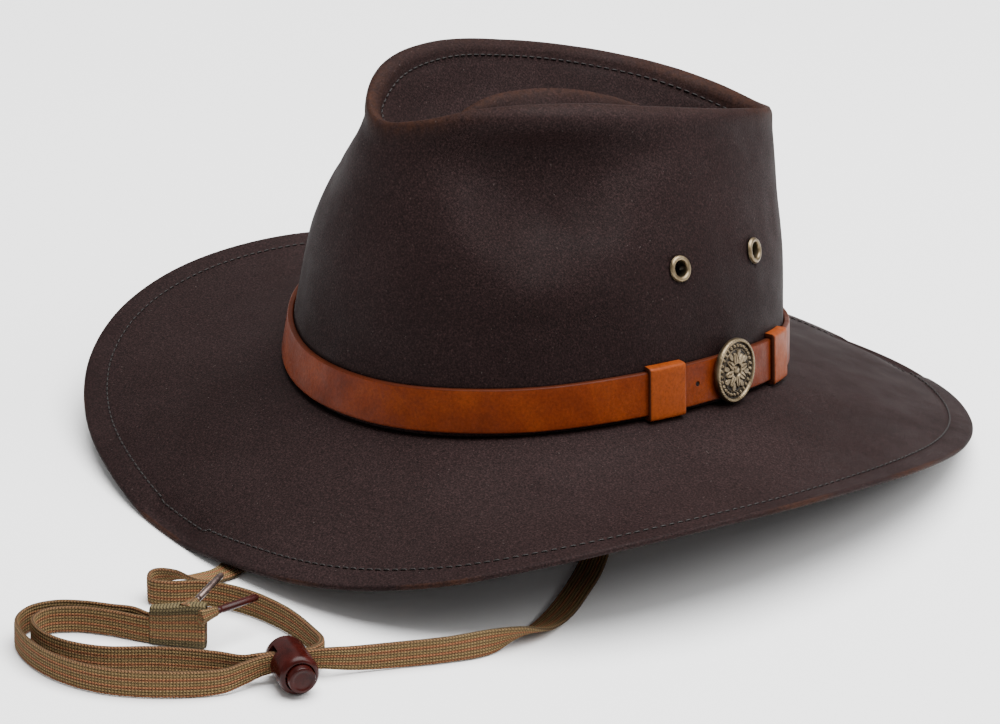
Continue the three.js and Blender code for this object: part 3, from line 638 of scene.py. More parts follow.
def tip_finish():
    """Dark brown lacquered metal."""
    finish = Finish("dark_tip_metal", Metallic=0.75)
    base = finish.mottle((200, 3), (0.3, (0.05, 0.032, 0.028)), (0.7, (0.16, 0.11, 0.095)))
    roughness = finish.mottle((400, 3), (0.3, 0.22), (0.7, 0.4))
    return finish.use(base, roughness, finish.bump(finish.noise(700, 2), 0.04, 0.5))


def thread_finish():
    """Dark sewing thread."""
    finish = Finish("sewing_thread", Specular_IOR_Level=0.3, Roughness=0.6)
    base = finish.mottle((1600, 2), (0.3, (0.005, 0.0035, 0.0032)), (0.7, (0.013, 0.009, 0.0085)))
    return finish.use(base, None, finish.bump(finish.noise(3000, 1), 0.05, 0.6))


cloth = cloth_finish()
brass = brass_finish()
lace_cloth = lace_finish()
oxblood = lock_finish()
tip_metal = tip_finish()
thread = thread_finish()


# Chin lace

lock_axis = np.array([math.sin(math.radians(LOCK_YAW)), math.cos(math.radians(LOCK_YAW)), 0])
lock_centre = np.array([*LOCK_PLACE, LOCK_RADIUS])
slot_centre = lock_centre + lock_axis * (LOCK_SLOT - LOCK_LENGTH / 2)


def path_frames(path, turns):
    """The directions across and through a lace, turned about its path from lying flat."""
    tangents = unit(np.gradient(path, axis=0))
    side = unit(np.cross(tangents, [0, 0, 1]))
    turns = np.radians(turns)[:, None]
    normals = side * np.cos(turns) + np.cross(tangents, side) * np.sin(turns)
    return normals, np.cross(tangents, normals)


def ribbed_section(width, thickness, ribs, samples):
    """Rows across one face, for each step: where it is across, and its half thickness."""
    across = np.linspace(-1, 1, ribs * samples + 1)
    lift = np.abs(np.sin((across + 1) / 2 * ribs * math.pi)) ** 0.7
    taper = np.sqrt(np.clip(1 - np.abs(across) ** 6, 0, 1)) * 0.75 + 0.25
    half = (0.62 + 0.38 * lift) * taper / 2
    face = columns(across[None] * width[:, None] / 2, half[None] * thickness[:, None])
    back = face[:, ::-1] * [1, -1]
    return np.concatenate([face, back], axis=1), np.concatenate([across, across[::-1]])


def add_lace(name, rows, node):
    """One half of the chin lace, narrower and thicker where the lock squeezes it."""
    rows = [row if len(row) == 4 else (*row, *ON_EDGE) for row in rows]
    samples = through_points(rows, LACE_STEP)
    path, turns = samples[:, :3], samples[:, 3]
    normals, binormals = path_frames(path, turns)
    along = arc_lengths(path)
    from_lock = np.linalg.norm(path - slot_centre, axis=1)
    width = LACE_WIDTH * (1 - SQUEEZE_NARROWER * bell(from_lock, 0, SQUEEZE_REACH))
    thickness = LACE_THICKNESS * (1 + SQUEEZE_THICKER * bell(from_lock, 0, SQUEEZE_REACH + 2))
    sections, across = ribbed_section(width, thickness, LACE_RIBS, 4)
    points, faces = tube(path, sections, normals, binormals)
    masks = {"across": np.tile(across, len(path)), "along": np.repeat(along, len(across))}
    piece = add_piece(name, points, faces, lace_cloth, [node], masks)
    return piece, path, float(along[-1])


def add_knot():
    """The laces' ends, folded over each other and sewn flat: two layers with a crease between."""
    yaw = math.radians(KNOT_YAW)
    run = np.array([math.cos(yaw), math.sin(yaw), 0])
    steps, sides = 44, 96
    share = np.linspace(-1, 1, steps)
    ends = np.sqrt(np.clip(1 - np.abs(share) ** 14, 0, 1)) * 0.45 + 0.55
    height = (KNOT_HEIGHT - 3 + 2.4 * smooth_step(share, -1, 0.9)) * (0.9 + 0.1 * ends)
    depth = KNOT_DEPTH * 0.8 * ends * (1 - 0.12 * smooth_step(-share, 0.3, 1))
    turn = round_turn(sides)
    circle = columns(np.cos(turn), np.sin(turn))
    rounded = np.abs(circle) ** 0.32 * np.sign(circle)
    ribs = 1 + 0.045 * np.cos(rounded[:, 1] * math.pi * KNOT_RIBS) * np.abs(rounded[:, 0]) ** 4
    crease = 1 - KNOT_CREASE * bell(rounded[:, 1], 0.08, 0.07)
    sections = rounded[None] * columns(depth, height)[:, None] / 2
    sections[..., 0] *= ribs * crease
    path = share[:, None] * run * KNOT_LENGTH / 2 + [*KNOT_PLACE, 0]
    path[:, 2] += height / 2
    side = np.tile(np.cross(run, [0, 0, 1]), (steps, 1))
    up = np.tile([0.0, 0, 1], (steps, 1))
    points, faces = tube(path, sections, side, up)
    along = np.repeat(share * KNOT_LENGTH / 2, sides)
    masks = {"across": np.tile(rounded[:, 1] * KNOT_RIBS / LACE_RIBS * 2, steps), "along": along}
    return add_piece("lace_end_fold", points, faces, lace_cloth, ["lace_knot"], masks)


def add_tail(name, start, end, tip_radius):
    """A gathered tail of lace from the fold to a tip."""
    start, end = np.array([start, end], float)
    heading = unit(end - start)
    steps, sides = 12, 30
    share = np.linspace(0, 1, steps)
    path = start - heading * TAIL_LENGTH * (1 - share[:, None]) - heading * 0.1
    radius = tip_radius * 1.05 + (TAIL_ROOT - tip_radius) * (1 - share) ** 1.3
    turn = round_turn(sides)
    folds = 1 + 0.12 * np.cos(turn * TAIL_FOLDS)[None] * (1 - 0.5 * share[:, None])
    ring = columns(np.cos(turn), np.sin(turn))[None] * (radius[:, None] * folds)[..., None]
    side = np.tile(unit(np.cross(heading, [0, 0, 1])), (steps, 1))
    points, faces = tube(path, ring, side, np.cross(side, heading))
    masks = {"across": np.tile(np.sin(turn), steps), "along": np.repeat(share * TAIL_LENGTH, sides)}
    return add_piece(name, points, faces, lace_cloth, (), masks)


def add_tip(node, start, end, radius, finish, slot):
    start, end = np.array([start, end], float)
    length = np.linalg.norm(end - start)
    profile = [
        (0, 0), (radius * 0.9, 0), (radius, 0.3), (radius, 1.4), (radius * 0.92, 1.7),
        (radius * 0.92, 2.1), (radius, 2.4), (radius, length - 1.2), (radius * 0.9, length - 0.5),
        (radius * 0.6, length), (0, length - 0.2),
    ]
    points, faces = lathe(profile, 28)
    points = points * [1, 0.82, 1]
    points = placed(points, start, (end - start) / length)
    return add_piece(node + "_tube", points, faces, finish, [node], sharp=50)


lace_right, right_path, right_length = add_lace("lace_right_braid", LACE_RIGHT, "lace_right")
lace_left, left_path, left_length = add_lace("lace_left_braid", LACE_LEFT, "lace_left")
fold = add_knot()
tips = [
    add_tip("aglet_metal", *TIPS["aglet_metal"], tip_metal, "tip"),
    add_tip("aglet_plastic", *TIPS["aglet_plastic"], oxblood, "lock"),
]
tails = [add_tail(f"{node}_tail", *place) for node, place in TIPS.items()]


# Cord lock

def boolean_cut(points, faces, low, high):
    """The solid with a box between two corners cut out of it, as points and faces."""
    corners = list(itertools.product(*zip(low, high)))
    sides = [(0, 1, 3, 2), (4, 6, 7, 5), (0, 4, 5, 1), (2, 3, 7, 6), (0, 2, 6, 4), (1, 5, 7, 3)]
    meshes = [new_mesh("solid", points, faces), new_mesh("cutter", corners, sides)]
    for mesh in meshes:
        face_out(mesh)
    solid, cutter = (link_object(mesh.name, mesh) for mesh in meshes)
    cut = solid.modifiers.new("cut", "BOOLEAN")
    cut.operation, cut.solver, cut.object = "DIFFERENCE", "EXACT", cutter
    bpy.context.view_layer.update()
    result = solid.evaluated_get(bpy.context.evaluated_depsgraph_get()).to_mesh()
    out_points = np.array([tuple(vertex.co) for vertex in result.vertices])
    out_faces = [tuple(face.vertices) for face in result.polygons]
    for mesh in meshes:
        bpy.data.meshes.remove(mesh)
    return out_points, out_faces


def on_lock(points):
    """Points made along +Z from the lock's closed end, with +X up, moved to the lock."""
    up = np.array([0.0, 0, 1])
    side = np.cross(lock_axis, up)
    shifted = points - [0, 0, LOCK_LENGTH / 2]
    return lock_centre + shifted[:, :1] * up + shifted[:, 1:2] * side + shifted[:, 2:] * lock_axis


def add_lock():
    bore = BUTTON_RADIUS + GAP
    radius, length = LOCK_RADIUS, LOCK_LENGTH
    profile = [
        (0, 0), (radius - 2.6, 0), (radius - 1.2, 0.3), (radius - 0.35, 1.1), (radius, 2.4),
        (radius, length - 2.6), (radius - 0.25, length - 1.4), (radius - 0.8, length - 0.4),
        (radius - 1.5, length), (bore + 0.25, length), (bore, length - 0.3), (bore, LOCK_BORE),
        (0, LOCK_BORE),
    ]
    points, faces = lathe(profile, 96)
    half_slot = LACE_THICKNESS + 0.9
    half_tall = LACE_WIDTH / 2 + 0.4
    reach = 2 * radius
    points, faces = boolean_cut(
        points, faces,
        (-half_tall, -reach, LOCK_SLOT - half_slot), (half_tall, reach, LOCK_SLOT + half_slot),
    )
    barrel = add_piece("lock_barrel_body", on_lock(points), faces, oxblood, ["lock_barrel"], sharp=32)
    inner = LOCK_BORE + BUTTON_TRAVEL + GAP
    face = LOCK_LENGTH + BUTTON_PROUD
    profile = [
        (0, inner), (BUTTON_RADIUS - 0.2, inner), (BUTTON_RADIUS, inner + 0.2),
        (BUTTON_RADIUS, face - 1), (BUTTON_RADIUS - 0.25, face - 0.45), (BUTTON_RADIUS - 0.8, face - 0.2),
        (BUTTON_RADIUS - 1.3, face - 0.25), (BUTTON_RADIUS - 1.6, face - 0.5),
        (BUTTON_RADIUS - 2.2, face - 0.5), (2, face - 0.4), (1, face - 0.3), (0, face - 0.28),
    ]
    points, faces = lathe(profile, 72)
    button = add_piece(
        "lock_button_cap", on_lock(points), faces, oxblood, ["lock_button"], body=BUTTON, sharp=40,
    )
    return barrel, button


barrel, button = add_lock()


# Head outlines

def seam_height(angle):
    turn = np.radians(angle)
    ends = SEAM_FRONT + (SEAM_BACK - SEAM_FRONT) * (1 + np.cos(turn)) / 2
    return ends + (SEAM_SIDE - (SEAM_FRONT + SEAM_BACK) / 2) * np.sin(turn) ** 2


def seam_point(angle):
    turn = np.radians(angle)
    return columns(
        HEAD_WIDTH / 2 * (np.sin(turn) - HEAD_EGG * np.sin(2 * turn)),
        HEAD_LENGTH / 2 * np.cos(turn) - HEAD_FORWARD,
        seam_height(angle),
    )


def outward_at(angle):
    ahead, behind = seam_point(angle + 0.5), seam_point(angle - 0.5)
    turned = columns(behind[..., 1] - ahead[..., 1], ahead[..., 0] - behind[..., 0])
    return np.concatenate([unit(turned), np.zeros_like(turned[..., :1])], axis=-1)


def crest_point(angle, outset=0):
    turn = np.radians(angle)
    return columns(
        (CREST_WIDTH / 2 + outset) * np.sin(turn),
        (CREST_LENGTH / 2 + outset) * np.cos(turn) - HEAD_FORWARD + CREST_BACKWARD,
        seam_height(angle) + CROWN_HEIGHT * table_value(CREST_HEIGHT, angle),
    )


def dent_push(angle, height):
    away = np.abs(np.abs(angle) - DENT_ANGLE) / DENT_SPAN
    side = np.where(away < 1, np.cos(np.minimum(away, 1) * math.pi / 2) ** 2, 0)
    lip_bottom = DENT_DEEPEST - DENT_REACH * side
    rise = smooth_step(height, lip_bottom, lip_bottom + DENT_LIP)
    fade = 1 - smooth_step(height, DENT_DEEPEST, DENT_TOP)
    return DENT_DEPTH * side * np.minimum(rise, fade)


def wall_point(angle, row):
    height, lean, roll = row
    seam, top = seam_point(angle), crest_point(angle)
    shoulder = crest_point(angle, SHOULDER * table_value(SHOULDER_OUT, angle))
    point = seam + (shoulder - seam) * lean
    point += (top - point) * roll
    point -= outward_at(angle) * np.asarray(dent_push(angle, height))[..., None]
    point[..., 2] = (seam[..., 2] + GAP) * (1 - height) + top[..., 2] * height
    return point


def basin_point(angle, row):
    inward, trough, ridge = row
    top = crest_point(angle)
    spine_y = SPINE_LENGTH / 2 * np.cos(np.radians(angle)) - HEAD_FORWARD + CREST_BACKWARD
    depth = trough * table_value(TROUGH_DEPTH, angle) + ridge * table_value(RIDGE_DEPTH, angle)
    return columns(
        top[..., 0] * (1 - inward),
        top[..., 1] + (spine_y - top[..., 1]) * inward,
        top[..., 2] - BASIN_DEPTH * depth,
    )


def crown_at(angle, rise):
    """A point on the crown's wall at a height over the seam, and the wall's normal."""
    angle = np.asarray(angle, float)
    share = max(rise, 0) / (CROWN_HEIGHT * table_value(CREST_HEIGHT, angle))
    heights = [row[0] for row in WALL]
    upper = int(np.searchsorted(heights, share.max(), "right"))
    low, high = WALL[upper - 1], WALL[upper]
    part = ((share - low[0]) / (high[0] - low[0]))[..., None]

    def on_wall(turn):
        return wall_point(turn, low) * (1 - part) + wall_point(turn, high) * part

    along = on_wall(angle + 1) - on_wall(angle - 1)
    up = wall_point(angle, high) - wall_point(angle, low)
    return on_wall(angle), -unit(np.cross(along, up))


def beside_crown(angle, out, rise):
    """A point at a height over the seam and a distance out from the crown's wall."""
    point = crown_at(angle, rise)[0] + outward_at(angle) * out
    point[..., 2] = seam_height(angle) + rise
    return point


def meet_on_spine(row):
    """Makes a row of points the same on both sides of the middle plane, and puts it there."""
    row[:, 0] = 0
    row[:] = (row + np.roll(row[::-1], 1, axis=0)) / 2


def ring_normals(points, spine=False):
    """Outward normals of rings of points, each a full turn."""
    along = np.roll(points, -1, axis=1) - np.roll(points, 1, axis=1)
    up = np.gradient(points, axis=0)
    normals = -np.cross(along, up)
    if spine:
        last = normals[-1] + np.roll(normals[-1, ::-1], 1, axis=0)
        last[:, 0] = 0
        normals[-1] = last
    return unit(normals)


def ripple(points, scale, size, seed):
    """Soft unevenness of hand-shaped cloth."""
    shift = Vector((seed * 17.3, seed * 5.1, seed * 9.7))
    flat = points.reshape(-1, 3)
    values = [noise.noise(Vector(point) * scale + shift) for point in flat]
    return np.array(values).reshape(points.shape[:-1]) * size


# Stitching

def at_level(values, level, grid):
    """Points of a grid where each column's rising value reaches a level, between rows."""
    row = np.clip(np.sum(values < level, axis=0), 1, len(values) - 1)
    column = np.arange(values.shape[1])
    low, high = values[row - 1, column], values[row, column]
    part = ((level - low) / (high - low))[:, None]
    return grid[row - 1, column] * (1 - part) + grid[row, column] * part


def add_stitches(name, line, normals):
    """A row of thread stitches along a closed line of points."""
    ends, looped = (np.concatenate([rows, rows[:1]]) for rows in (line, normals))
    reach = arc_lengths(ends)
    count = round(reach[-1] / STITCH_PITCH)
    places = (np.arange(count) + 0.5) * reach[-1] / count

    def at(rows, shift=0.0):
        return np.stack([np.interp(places + shift, reach, rows[:, k]) for k in range(3)], axis=-1)

    middle, up = at(ends), unit(at(looped))
    along = unit(at(ends, 0.5) - middle)
    side = np.cross(up, along)
    middle, up, along, side = (rows[:, None, None] for rows in (middle, up, along, side))
    far, lift = np.array(STITCH_ARCH).T[:, :, None, None]
    turn = round_turn(THREAD_SIDES)[:, None]
    ring = THREAD_RADIUS * (np.cos(turn) * side + np.sin(turn) * up)
    points = middle + along * far * (STITCH_LENGTH + lift / 2) + up * lift + ring
    size = len(STITCH_ARCH) * THREAD_SIDES
    faces = [
        face for index in range(count) for face in tube_faces(len(STITCH_ARCH), THREAD_SIDES, index * size)
    ]
    add_piece(name, points, faces, thread)


# Crown

def eyelet_places():
    """Each eyelet's point on the crown's wall, and the wall's normal there."""
    return {
        f"eyelet_{side}_{end}": crown_at(sign * angle, EYELET_RISE)
        for end, angle in EYELET_ANGLES.items() for side, sign in (("left", 1), ("right", -1))
    }


def crown_surface(angles):
    """Rings of the crown's outer face, their normals, and how far each is past the crest."""
    rows = [wall_point(angles, row) for row in WALL] + [basin_point(angles, row) for row in BASIN]
    outer = through_points(np.stack(rows, axis=1), CLOTH_STEP).transpose(1, 0, 2)
    outer[-1, :, 0] = 0
    normals = ring_normals(outer, spine=True)
    arc = arc_lengths(outer)
    past_crest = arc - arc[np.argmax(outer[..., 2].mean(axis=1))]
    groove = bell(past_crest, CREST_STITCH_INSET, 0.8)
    puff = bell(past_crest, CREST_STITCH_INSET / 2, 3.2)
    lift = ripple(outer, 0.022, 0.55, 1) + ripple(outer, 0.09, 0.12, 2)
    calm = smooth_step(arc, *CROWN_CALM)
    outer = outer + normals * (lift * calm - CREST_GROOVE * groove + CREST_PUFF * puff)[..., None]
    meet_on_spine(outer[-1])
    return outer, normals, past_crest


def crown_faces(outer):
    """Faces of the shell's outer and inner rings, open at the eyelets and joined at the spine."""
    rings, size = outer.shape[:2]
    count = rings * size
    quads = grid_faces(rings, size)
    middles = outer.reshape(-1, 3)[quads].mean(axis=1)
    keep = np.ones(len(quads), bool)
    for point, _ in eyelet_places().values():
        keep &= np.linalg.norm(middles - point, axis=1) > EYELET_BARREL + EYELET_CLEAR
    kept = quads[keep]
    weld = np.arange(2 * count)
    for start in (count - size, 2 * count - size):
        for side in range(size // 2 + 1, size):
            weld[start + side] = start + size - side
    edges = dict.fromkeys(edge for quad in kept.tolist() for edge in zip(quad, quad[1:] + quad[:1]))
    bridges = [
        (b, a, a + count, b + count) for a, b in edges
        if (b, a) not in edges and min(a, b) < count - size
    ]
    return weld[np.concatenate([kept, kept[:, ::-1] + count, bridges])]


def crown_wear(outer, past_crest, angles):
    """How worn each point is: along the crest at the front and the back, and on the ridge."""
    along = np.abs(angles)
    rim = bell(past_crest, 1, WORN_CREST_WIDTH)
    front = rim * smooth_step(along, *WORN_FRONT)
    back = rim * (1 - smooth_step(along, *WORN_BACK)) * 0.9
    ridge = bell(outer[..., 0], 0, WORN_RIDGE_WIDTH) * (past_crest > 12) * 0.75
    return np.maximum.reduce([front, back, ridge, rim * 0.25]) * 0.8


def add_crown():
    angles = turn_angles()
    outer, normals, past_crest = crown_surface(angles)
    inner = outer - normals * CLOTH
    inner[0, :, 2] = outer[0, :, 2]
    meet_on_spine(inner[-1])
    wear = crown_wear(outer, past_crest, angles)
    used, faces = np.unique(crown_faces(outer), return_inverse=True)
    faces = faces.reshape(-1, 4)
    points = np.concatenate([outer, inner]).reshape(-1, 3)[used]
    masks = {"wear": np.append(wear, np.zeros_like(wear))[used]}
    add_piece("crown_shell", points, faces, cloth, ["crown_side", "crown_top"], masks)
    line, ups = (at_level(past_crest, CREST_STITCH_INSET, grid) for grid in (outer, normals))
    add_stitches("crown_top_stitches", line, ups)


add_crown()


# Brim

def brim_rows(angles):
    """Rows of the brim's middle surface from the seam out to the edge."""
    seam = seam_point(angles)
    lift = np.maximum(0, BRIM_LIFT * table_value(EDGE_LIFT, angles) - REST_FLATTEN)
    lift -= FAR_DROP * bell(angles, FAR_ANGLE, FAR_SPAN)
    edge = columns(
        BRIM_WIDTH / 2 * table_value(EDGE_ACROSS, angles, -1),
        BRIM_LENGTH / 2 * table_value(EDGE_ALONG, angles),
        lift,
    )
    edge[:, 1] -= BACK_PULL * bell(angles, BACK_ANGLE, BACK_SPAN)
    sag = (END_SAG + (SIDE_SAG - END_SAG) * np.sin(np.radians(angles)) ** 2) * seam[:, 2]
    rows = []
    for out, share in zip(SECTION_OUT, SECTION_SAG):
        point = seam + (edge - seam) * out
        point[:, 2] = (seam[:, 2] - CLOTH) * (1 - out) + edge[:, 2] * out - sag * share
        rows.append(point)
    rows[-2][:, 2] = np.where(lift <= 0, 0, rows[-2][:, 2])
    return np.stack(rows, axis=1) + [0, 0, CLOTH / 2]


def rounded_edge(middle, normals, half):
    """Rings round the brim's edge, from its upper to its lower face, and how far it is set back."""
    away = unit(middle[-1] - middle[-2])
    last_half = half[-1][:, None]
    rounded = []
    for turn in np.radians([60, 30, 0, -30, -60]):
        offset = away * math.cos(turn) + normals[-1] * math.sin(turn)
        ring = middle[-1] + offset * last_half
        ring[:, 2] = np.maximum(ring[:, 2], 0)
        rounded.append(ring - away * last_half)
    return rounded, away * last_half


def collar_rings(angles):
    """Rings of the collar inside the crown: its inner face, its rim and its outer face."""
    outer_out = -CLOTH - 2 * GAP
    inner_out = outer_out - CLOTH
    rises = [0, 4, 8, COLLAR - 0.4]
    inside = [beside_crown(angles, inner_out, rise) for rise in rises]
    inside[0][:, 2] = seam_height(angles) - CLOTH
    rim = [beside_crown(angles, out, COLLAR) for out in (inner_out + 0.5, outer_out - 0.5)]
    return inside + rim + [beside_crown(angles, outer_out, rise) for rise in rises[::-1]]


def brim_wear(middle, reach, angles):
    """How worn each point is: in patches along the edge, and at the back corners of the seam."""
    edge = bell(reach[-1] - reach, 0, 1.5)
    patches = smooth_step(ripple(middle, 0.03, 1.0, 5), 0.15, 0.45)
    corners = bell(np.abs(angles), WORN_CORNER_ANGLE, 16) * bell(reach, 0, 9)
    return np.maximum(edge * patches * 0.7, corners * 0.5)


def add_brim():
    angles = turn_angles()
    middle = through_points(brim_rows(angles), CLOTH_STEP).transpose(1, 0, 2)
    normals = ring_normals(middle)
    reach = arc_lengths(middle)
    from_edge = reach[-1] - reach
    groove = bell(from_edge, BRIM_STITCH_INSET, 0.9)
    hem = 1 - smooth_step(from_edge, BRIM_STITCH_INSET - 3, BRIM_STITCH_INSET)
    half = CLOTH / 2 * (1 - BRIM_GROOVE * groove + BRIM_HEM * hem)
    calm = smooth_step(middle[..., 2], 2.5, 9) * smooth_step(reach, 4, 14)
    middle = middle + normals * (ripple(middle, 0.017, 0.7, 3) * calm)[..., None]
    over = middle + normals * half[..., None]
    under = middle - normals * half[..., None]
    under[..., 2] = np.maximum(under[..., 2], 0)
    rounded, set_back = rounded_edge(middle, normals, half)
    over[-1] -= set_back
    under[-1] -= set_back
    over[0][:, 2] = np.minimum(over[0][:, 2], seam_height(angles))
    collar = collar_rings(angles)
    sections = np.stack([*collar, *over, *rounded, *under[::-1]], axis=1)
    faces = grid_faces(*sections.shape[:2], close_strip=True)
    worn = brim_wear(middle, reach, angles)
    plain = np.zeros((len(collar), len(angles)))
    wear = np.concatenate([plain, worn, np.tile(worn[-1], (len(rounded), 1)), np.zeros_like(worn)])
    add_piece("brim_shell", sections, faces, cloth, ["brim"], {"wear": wear.T.ravel()})
    top_line, low_line, ups = (
        at_level(-from_edge, -BRIM_STITCH_INSET, grid) for grid in (over, under, normals)
    )
    add_stitches("brim_stitches_over", top_line, ups)
    add_stitches("brim_stitches_under", low_line, -ups)


add_brim()


# Band and keepers

def corner_points(out, rise, radius, degrees):
    return [(out + radius * math.cos(turn), rise + radius * math.sin(turn)) for turn in np.radians(degrees)]


def rounded_strip(inner, outer, low, high, radius):
    """A strap's section as rows of out, rise and how near they are to the cut edges."""
    left, right, bottom, top = inner + radius, outer - radius, low + radius, high - radius
    face = np.linspace(bottom, top, 14)
    edge = np.linspace(left, right, 8)[1:-1]
    sides = [
        ([(inner, rise) for rise in face], 0),
        (corner_points(left, top, radius, [150, 120, 90]), 1),
        ([(out, high) for out in edge], 1),
        (corner_points(right, top, radius, [90, 60, 30]), 0.8),
        ([(outer, rise) for rise in face[::-1]], 0),
        (corner_points(right, bottom, radius, [-30, -60, -90]), 0.8),
        ([(out, low) for out in edge[::-1]], 1),
        (corner_points(left, bottom, radius, [-90, -120, -150]), 1),
    ]
    return [(*place, cut) for places, cut in sides for place in places]


def add_band():
    angles = turn_angles(360)
    low, high = BAND_RISE, BAND_RISE + BAND_HEIGHT
    rows = rounded_strip(GAP, GAP + LEATHER, low, high, 0.6)
    sections = np.stack([beside_crown(angles, out, rise) for out, rise, _ in rows], axis=1)
    turn = np.radians(angles)[:, None]
    sections[..., 2] += BAND_SWAY * (np.sin(turn * 5 + 1) + 0.6 * np.sin(turn * 11))
    faces = grid_faces(*sections.shape[:2], close_strip=True)
    edge = np.tile([cut * 0.75 for _, _, cut in rows], len(angles))
    add_piece("band_strap", sections, faces, leather, ["band"], {"edge": edge})


def keeper_outline():
    """The keeper's C-shaped section: its inner and its outer face, as rows of out and rise."""
    back, inside = GAP, 2.5 * GAP + LEATHER
    outside = inside + KEEPER
    low, high = BAND_RISE - GAP, BAND_RISE + BAND_HEIGHT + GAP
    bottom, top = low - KEEPER, high + KEEPER
    inner_face = [(back, low), (inside - 0.5, low), (inside - 0.15, low + 0.15), (inside, low + 0.5)]
    inner_face += [(inside, rise) for rise in np.linspace(low + 2, high - 2, 7)]
    inner_face += [(inside, high - 0.5), (inside - 0.15, high - 0.15), (inside - 0.5, high), (back, high)]
    corner = 1.1
    outer_face = [(back, top), (back + 0.8, top), (outside - corner, top)]
    outer_face += corner_points(outside - corner, top - corner, corner, [60, 30, 0])
    outer_face += [(outside, rise) for rise in np.linspace(top - 2.5, bottom + 2.5, 10)]
    outer_face += corner_points(outside - corner, bottom + corner, corner, [0, -30, -60])
    outer_face += [(outside - corner, bottom), (back + 0.8, bottom), (back, bottom)]
    return inner_face, outer_face


def add_keeper(node, middle):
    start, following = (beside_crown(middle + step, 0, BAND_MIDDLE) for step in (0, 1))
    half_span = KEEPER_WIDTH / 2 / np.linalg.norm(following - start)
    share = np.array([-1, -0.995, -0.98, -0.95, *np.linspace(-0.85, 0.85, 11), 0.95, 0.98, 0.995, 1])
    inner_face, outer_face = keeper_outline()
    outline = inner_face + outer_face
    centre_out = (outline[0][0] + outline[-4][0]) / 2
    sections = []
    for at in share:
        angle = middle + half_span * at
        shrink = KEEPER_ROUNDING * max(0, abs(at) - 0.95) / 0.05
        ring = []
        for index, (out, rise) in enumerate(outline):
            settle = shrink if index >= len(inner_face) and out > centre_out else 0
            tuck = settle * 0.3 * np.sign(rise - BAND_MIDDLE)
            ring.append(beside_crown(angle, out - settle, rise - tuck))
        sections.append(np.stack(ring))
    sections = np.stack(sections)
    steps, size = sections.shape[:2]
    faces = grid_faces(steps, size).tolist()
    inner_count, outer_count = len(inner_face), len(outer_face)
    across = [size - 1 - round(part * (outer_count - 1) / (inner_count - 1)) for part in range(inner_count)]
    strip = [
        [part, *range(across[part], across[part + 1] - 1, -1), part + 1] for part in range(inner_count - 1)
    ]
    last = (steps - 1) * size
    faces += strip + [[last + index for index in face[::-1]] for face in strip]
    edge = np.zeros((steps, size))
    edge[[0, 1, -2, -1]] = 0.9
    edge[[2, -3]] = 0.5
    # Painted shade: the keepers' inner faces, which lie over the band, are darkened.
    edge[:, :inner_count] = np.maximum(edge[:, :inner_count], 0.6)
    # The pale mask paints the keepers lighter, standing in for the light they catch from the right.
    add_piece(
        node + "_strap", sections, faces, leather, [node],
        {"edge": edge.ravel(), "pale": np.ones(edge.size)}, sharp=60,
    )


strap_hole = beside_crown(STRAP_HOLE_ANGLE, GAP + LEATHER, BAND_MIDDLE)
leather = leather_finish(tuple(strap_hole * MM))
add_band()
for node, angle in KEEPER_ANGLES.items():
    add_keeper(node, angle)


# Concho and eyelets

def concho_relief(share, turn):
    """Height over the field, 0 to 1: a raised rim, a ring of beads, and an eight-leaf rosette."""
    share, turn = np.broadcast_arrays(share, turn)
    rim = smooth_step(share, 0.86, 0.9) * (1 - 0.5 * smooth_step(share, 0.965, 1.0))
    rope = (share > 0.885) * (share < 0.98) * 0.08 * np.cos(turn * 56 + share * 90)
    bead_span = 2 * math.pi * BEAD_RING / CONCHO_BEADS
    bead_turn = (turn * CONCHO_BEADS / (2 * math.pi)) % 1 - 0.5
    bead_far = np.hypot(bead_turn * bead_span, share - BEAD_RING) / (0.43 * bead_span)
    beads = 0.75 * np.sqrt(np.clip(1 - bead_far ** 2, 0, 1))
    ring = 0.55 * bell(share, 0.665, 0.012)
    leaf_turn = 2 * np.abs((turn * CONCHO_LEAVES / (2 * math.pi)) % 1 - 0.5)
    leaf_edge = 0.6 * (1 - 0.55 * leaf_turn ** 1.6)
    leaf = smooth_step(leaf_edge - share, 0, 0.05) * smooth_step(share, 0.17, 0.22)
    vein = 1 - 0.45 * bell(leaf_turn, 0, 0.09) * smooth_step(share, 0.22, 0.3)
    bud_far = np.hypot((1 - leaf_turn) * 0.32, (share - 0.53) * 0.9)
    buds = 0.6 * smooth_step(0.16 - bud_far, 0, 0.05)
    boss = np.sqrt(np.clip(1 - (share / 0.15) ** 2, 0, 1))
    return np.maximum.reduce([rim + rope, beads, ring, 0.85 * leaf * vein, buds, boss])


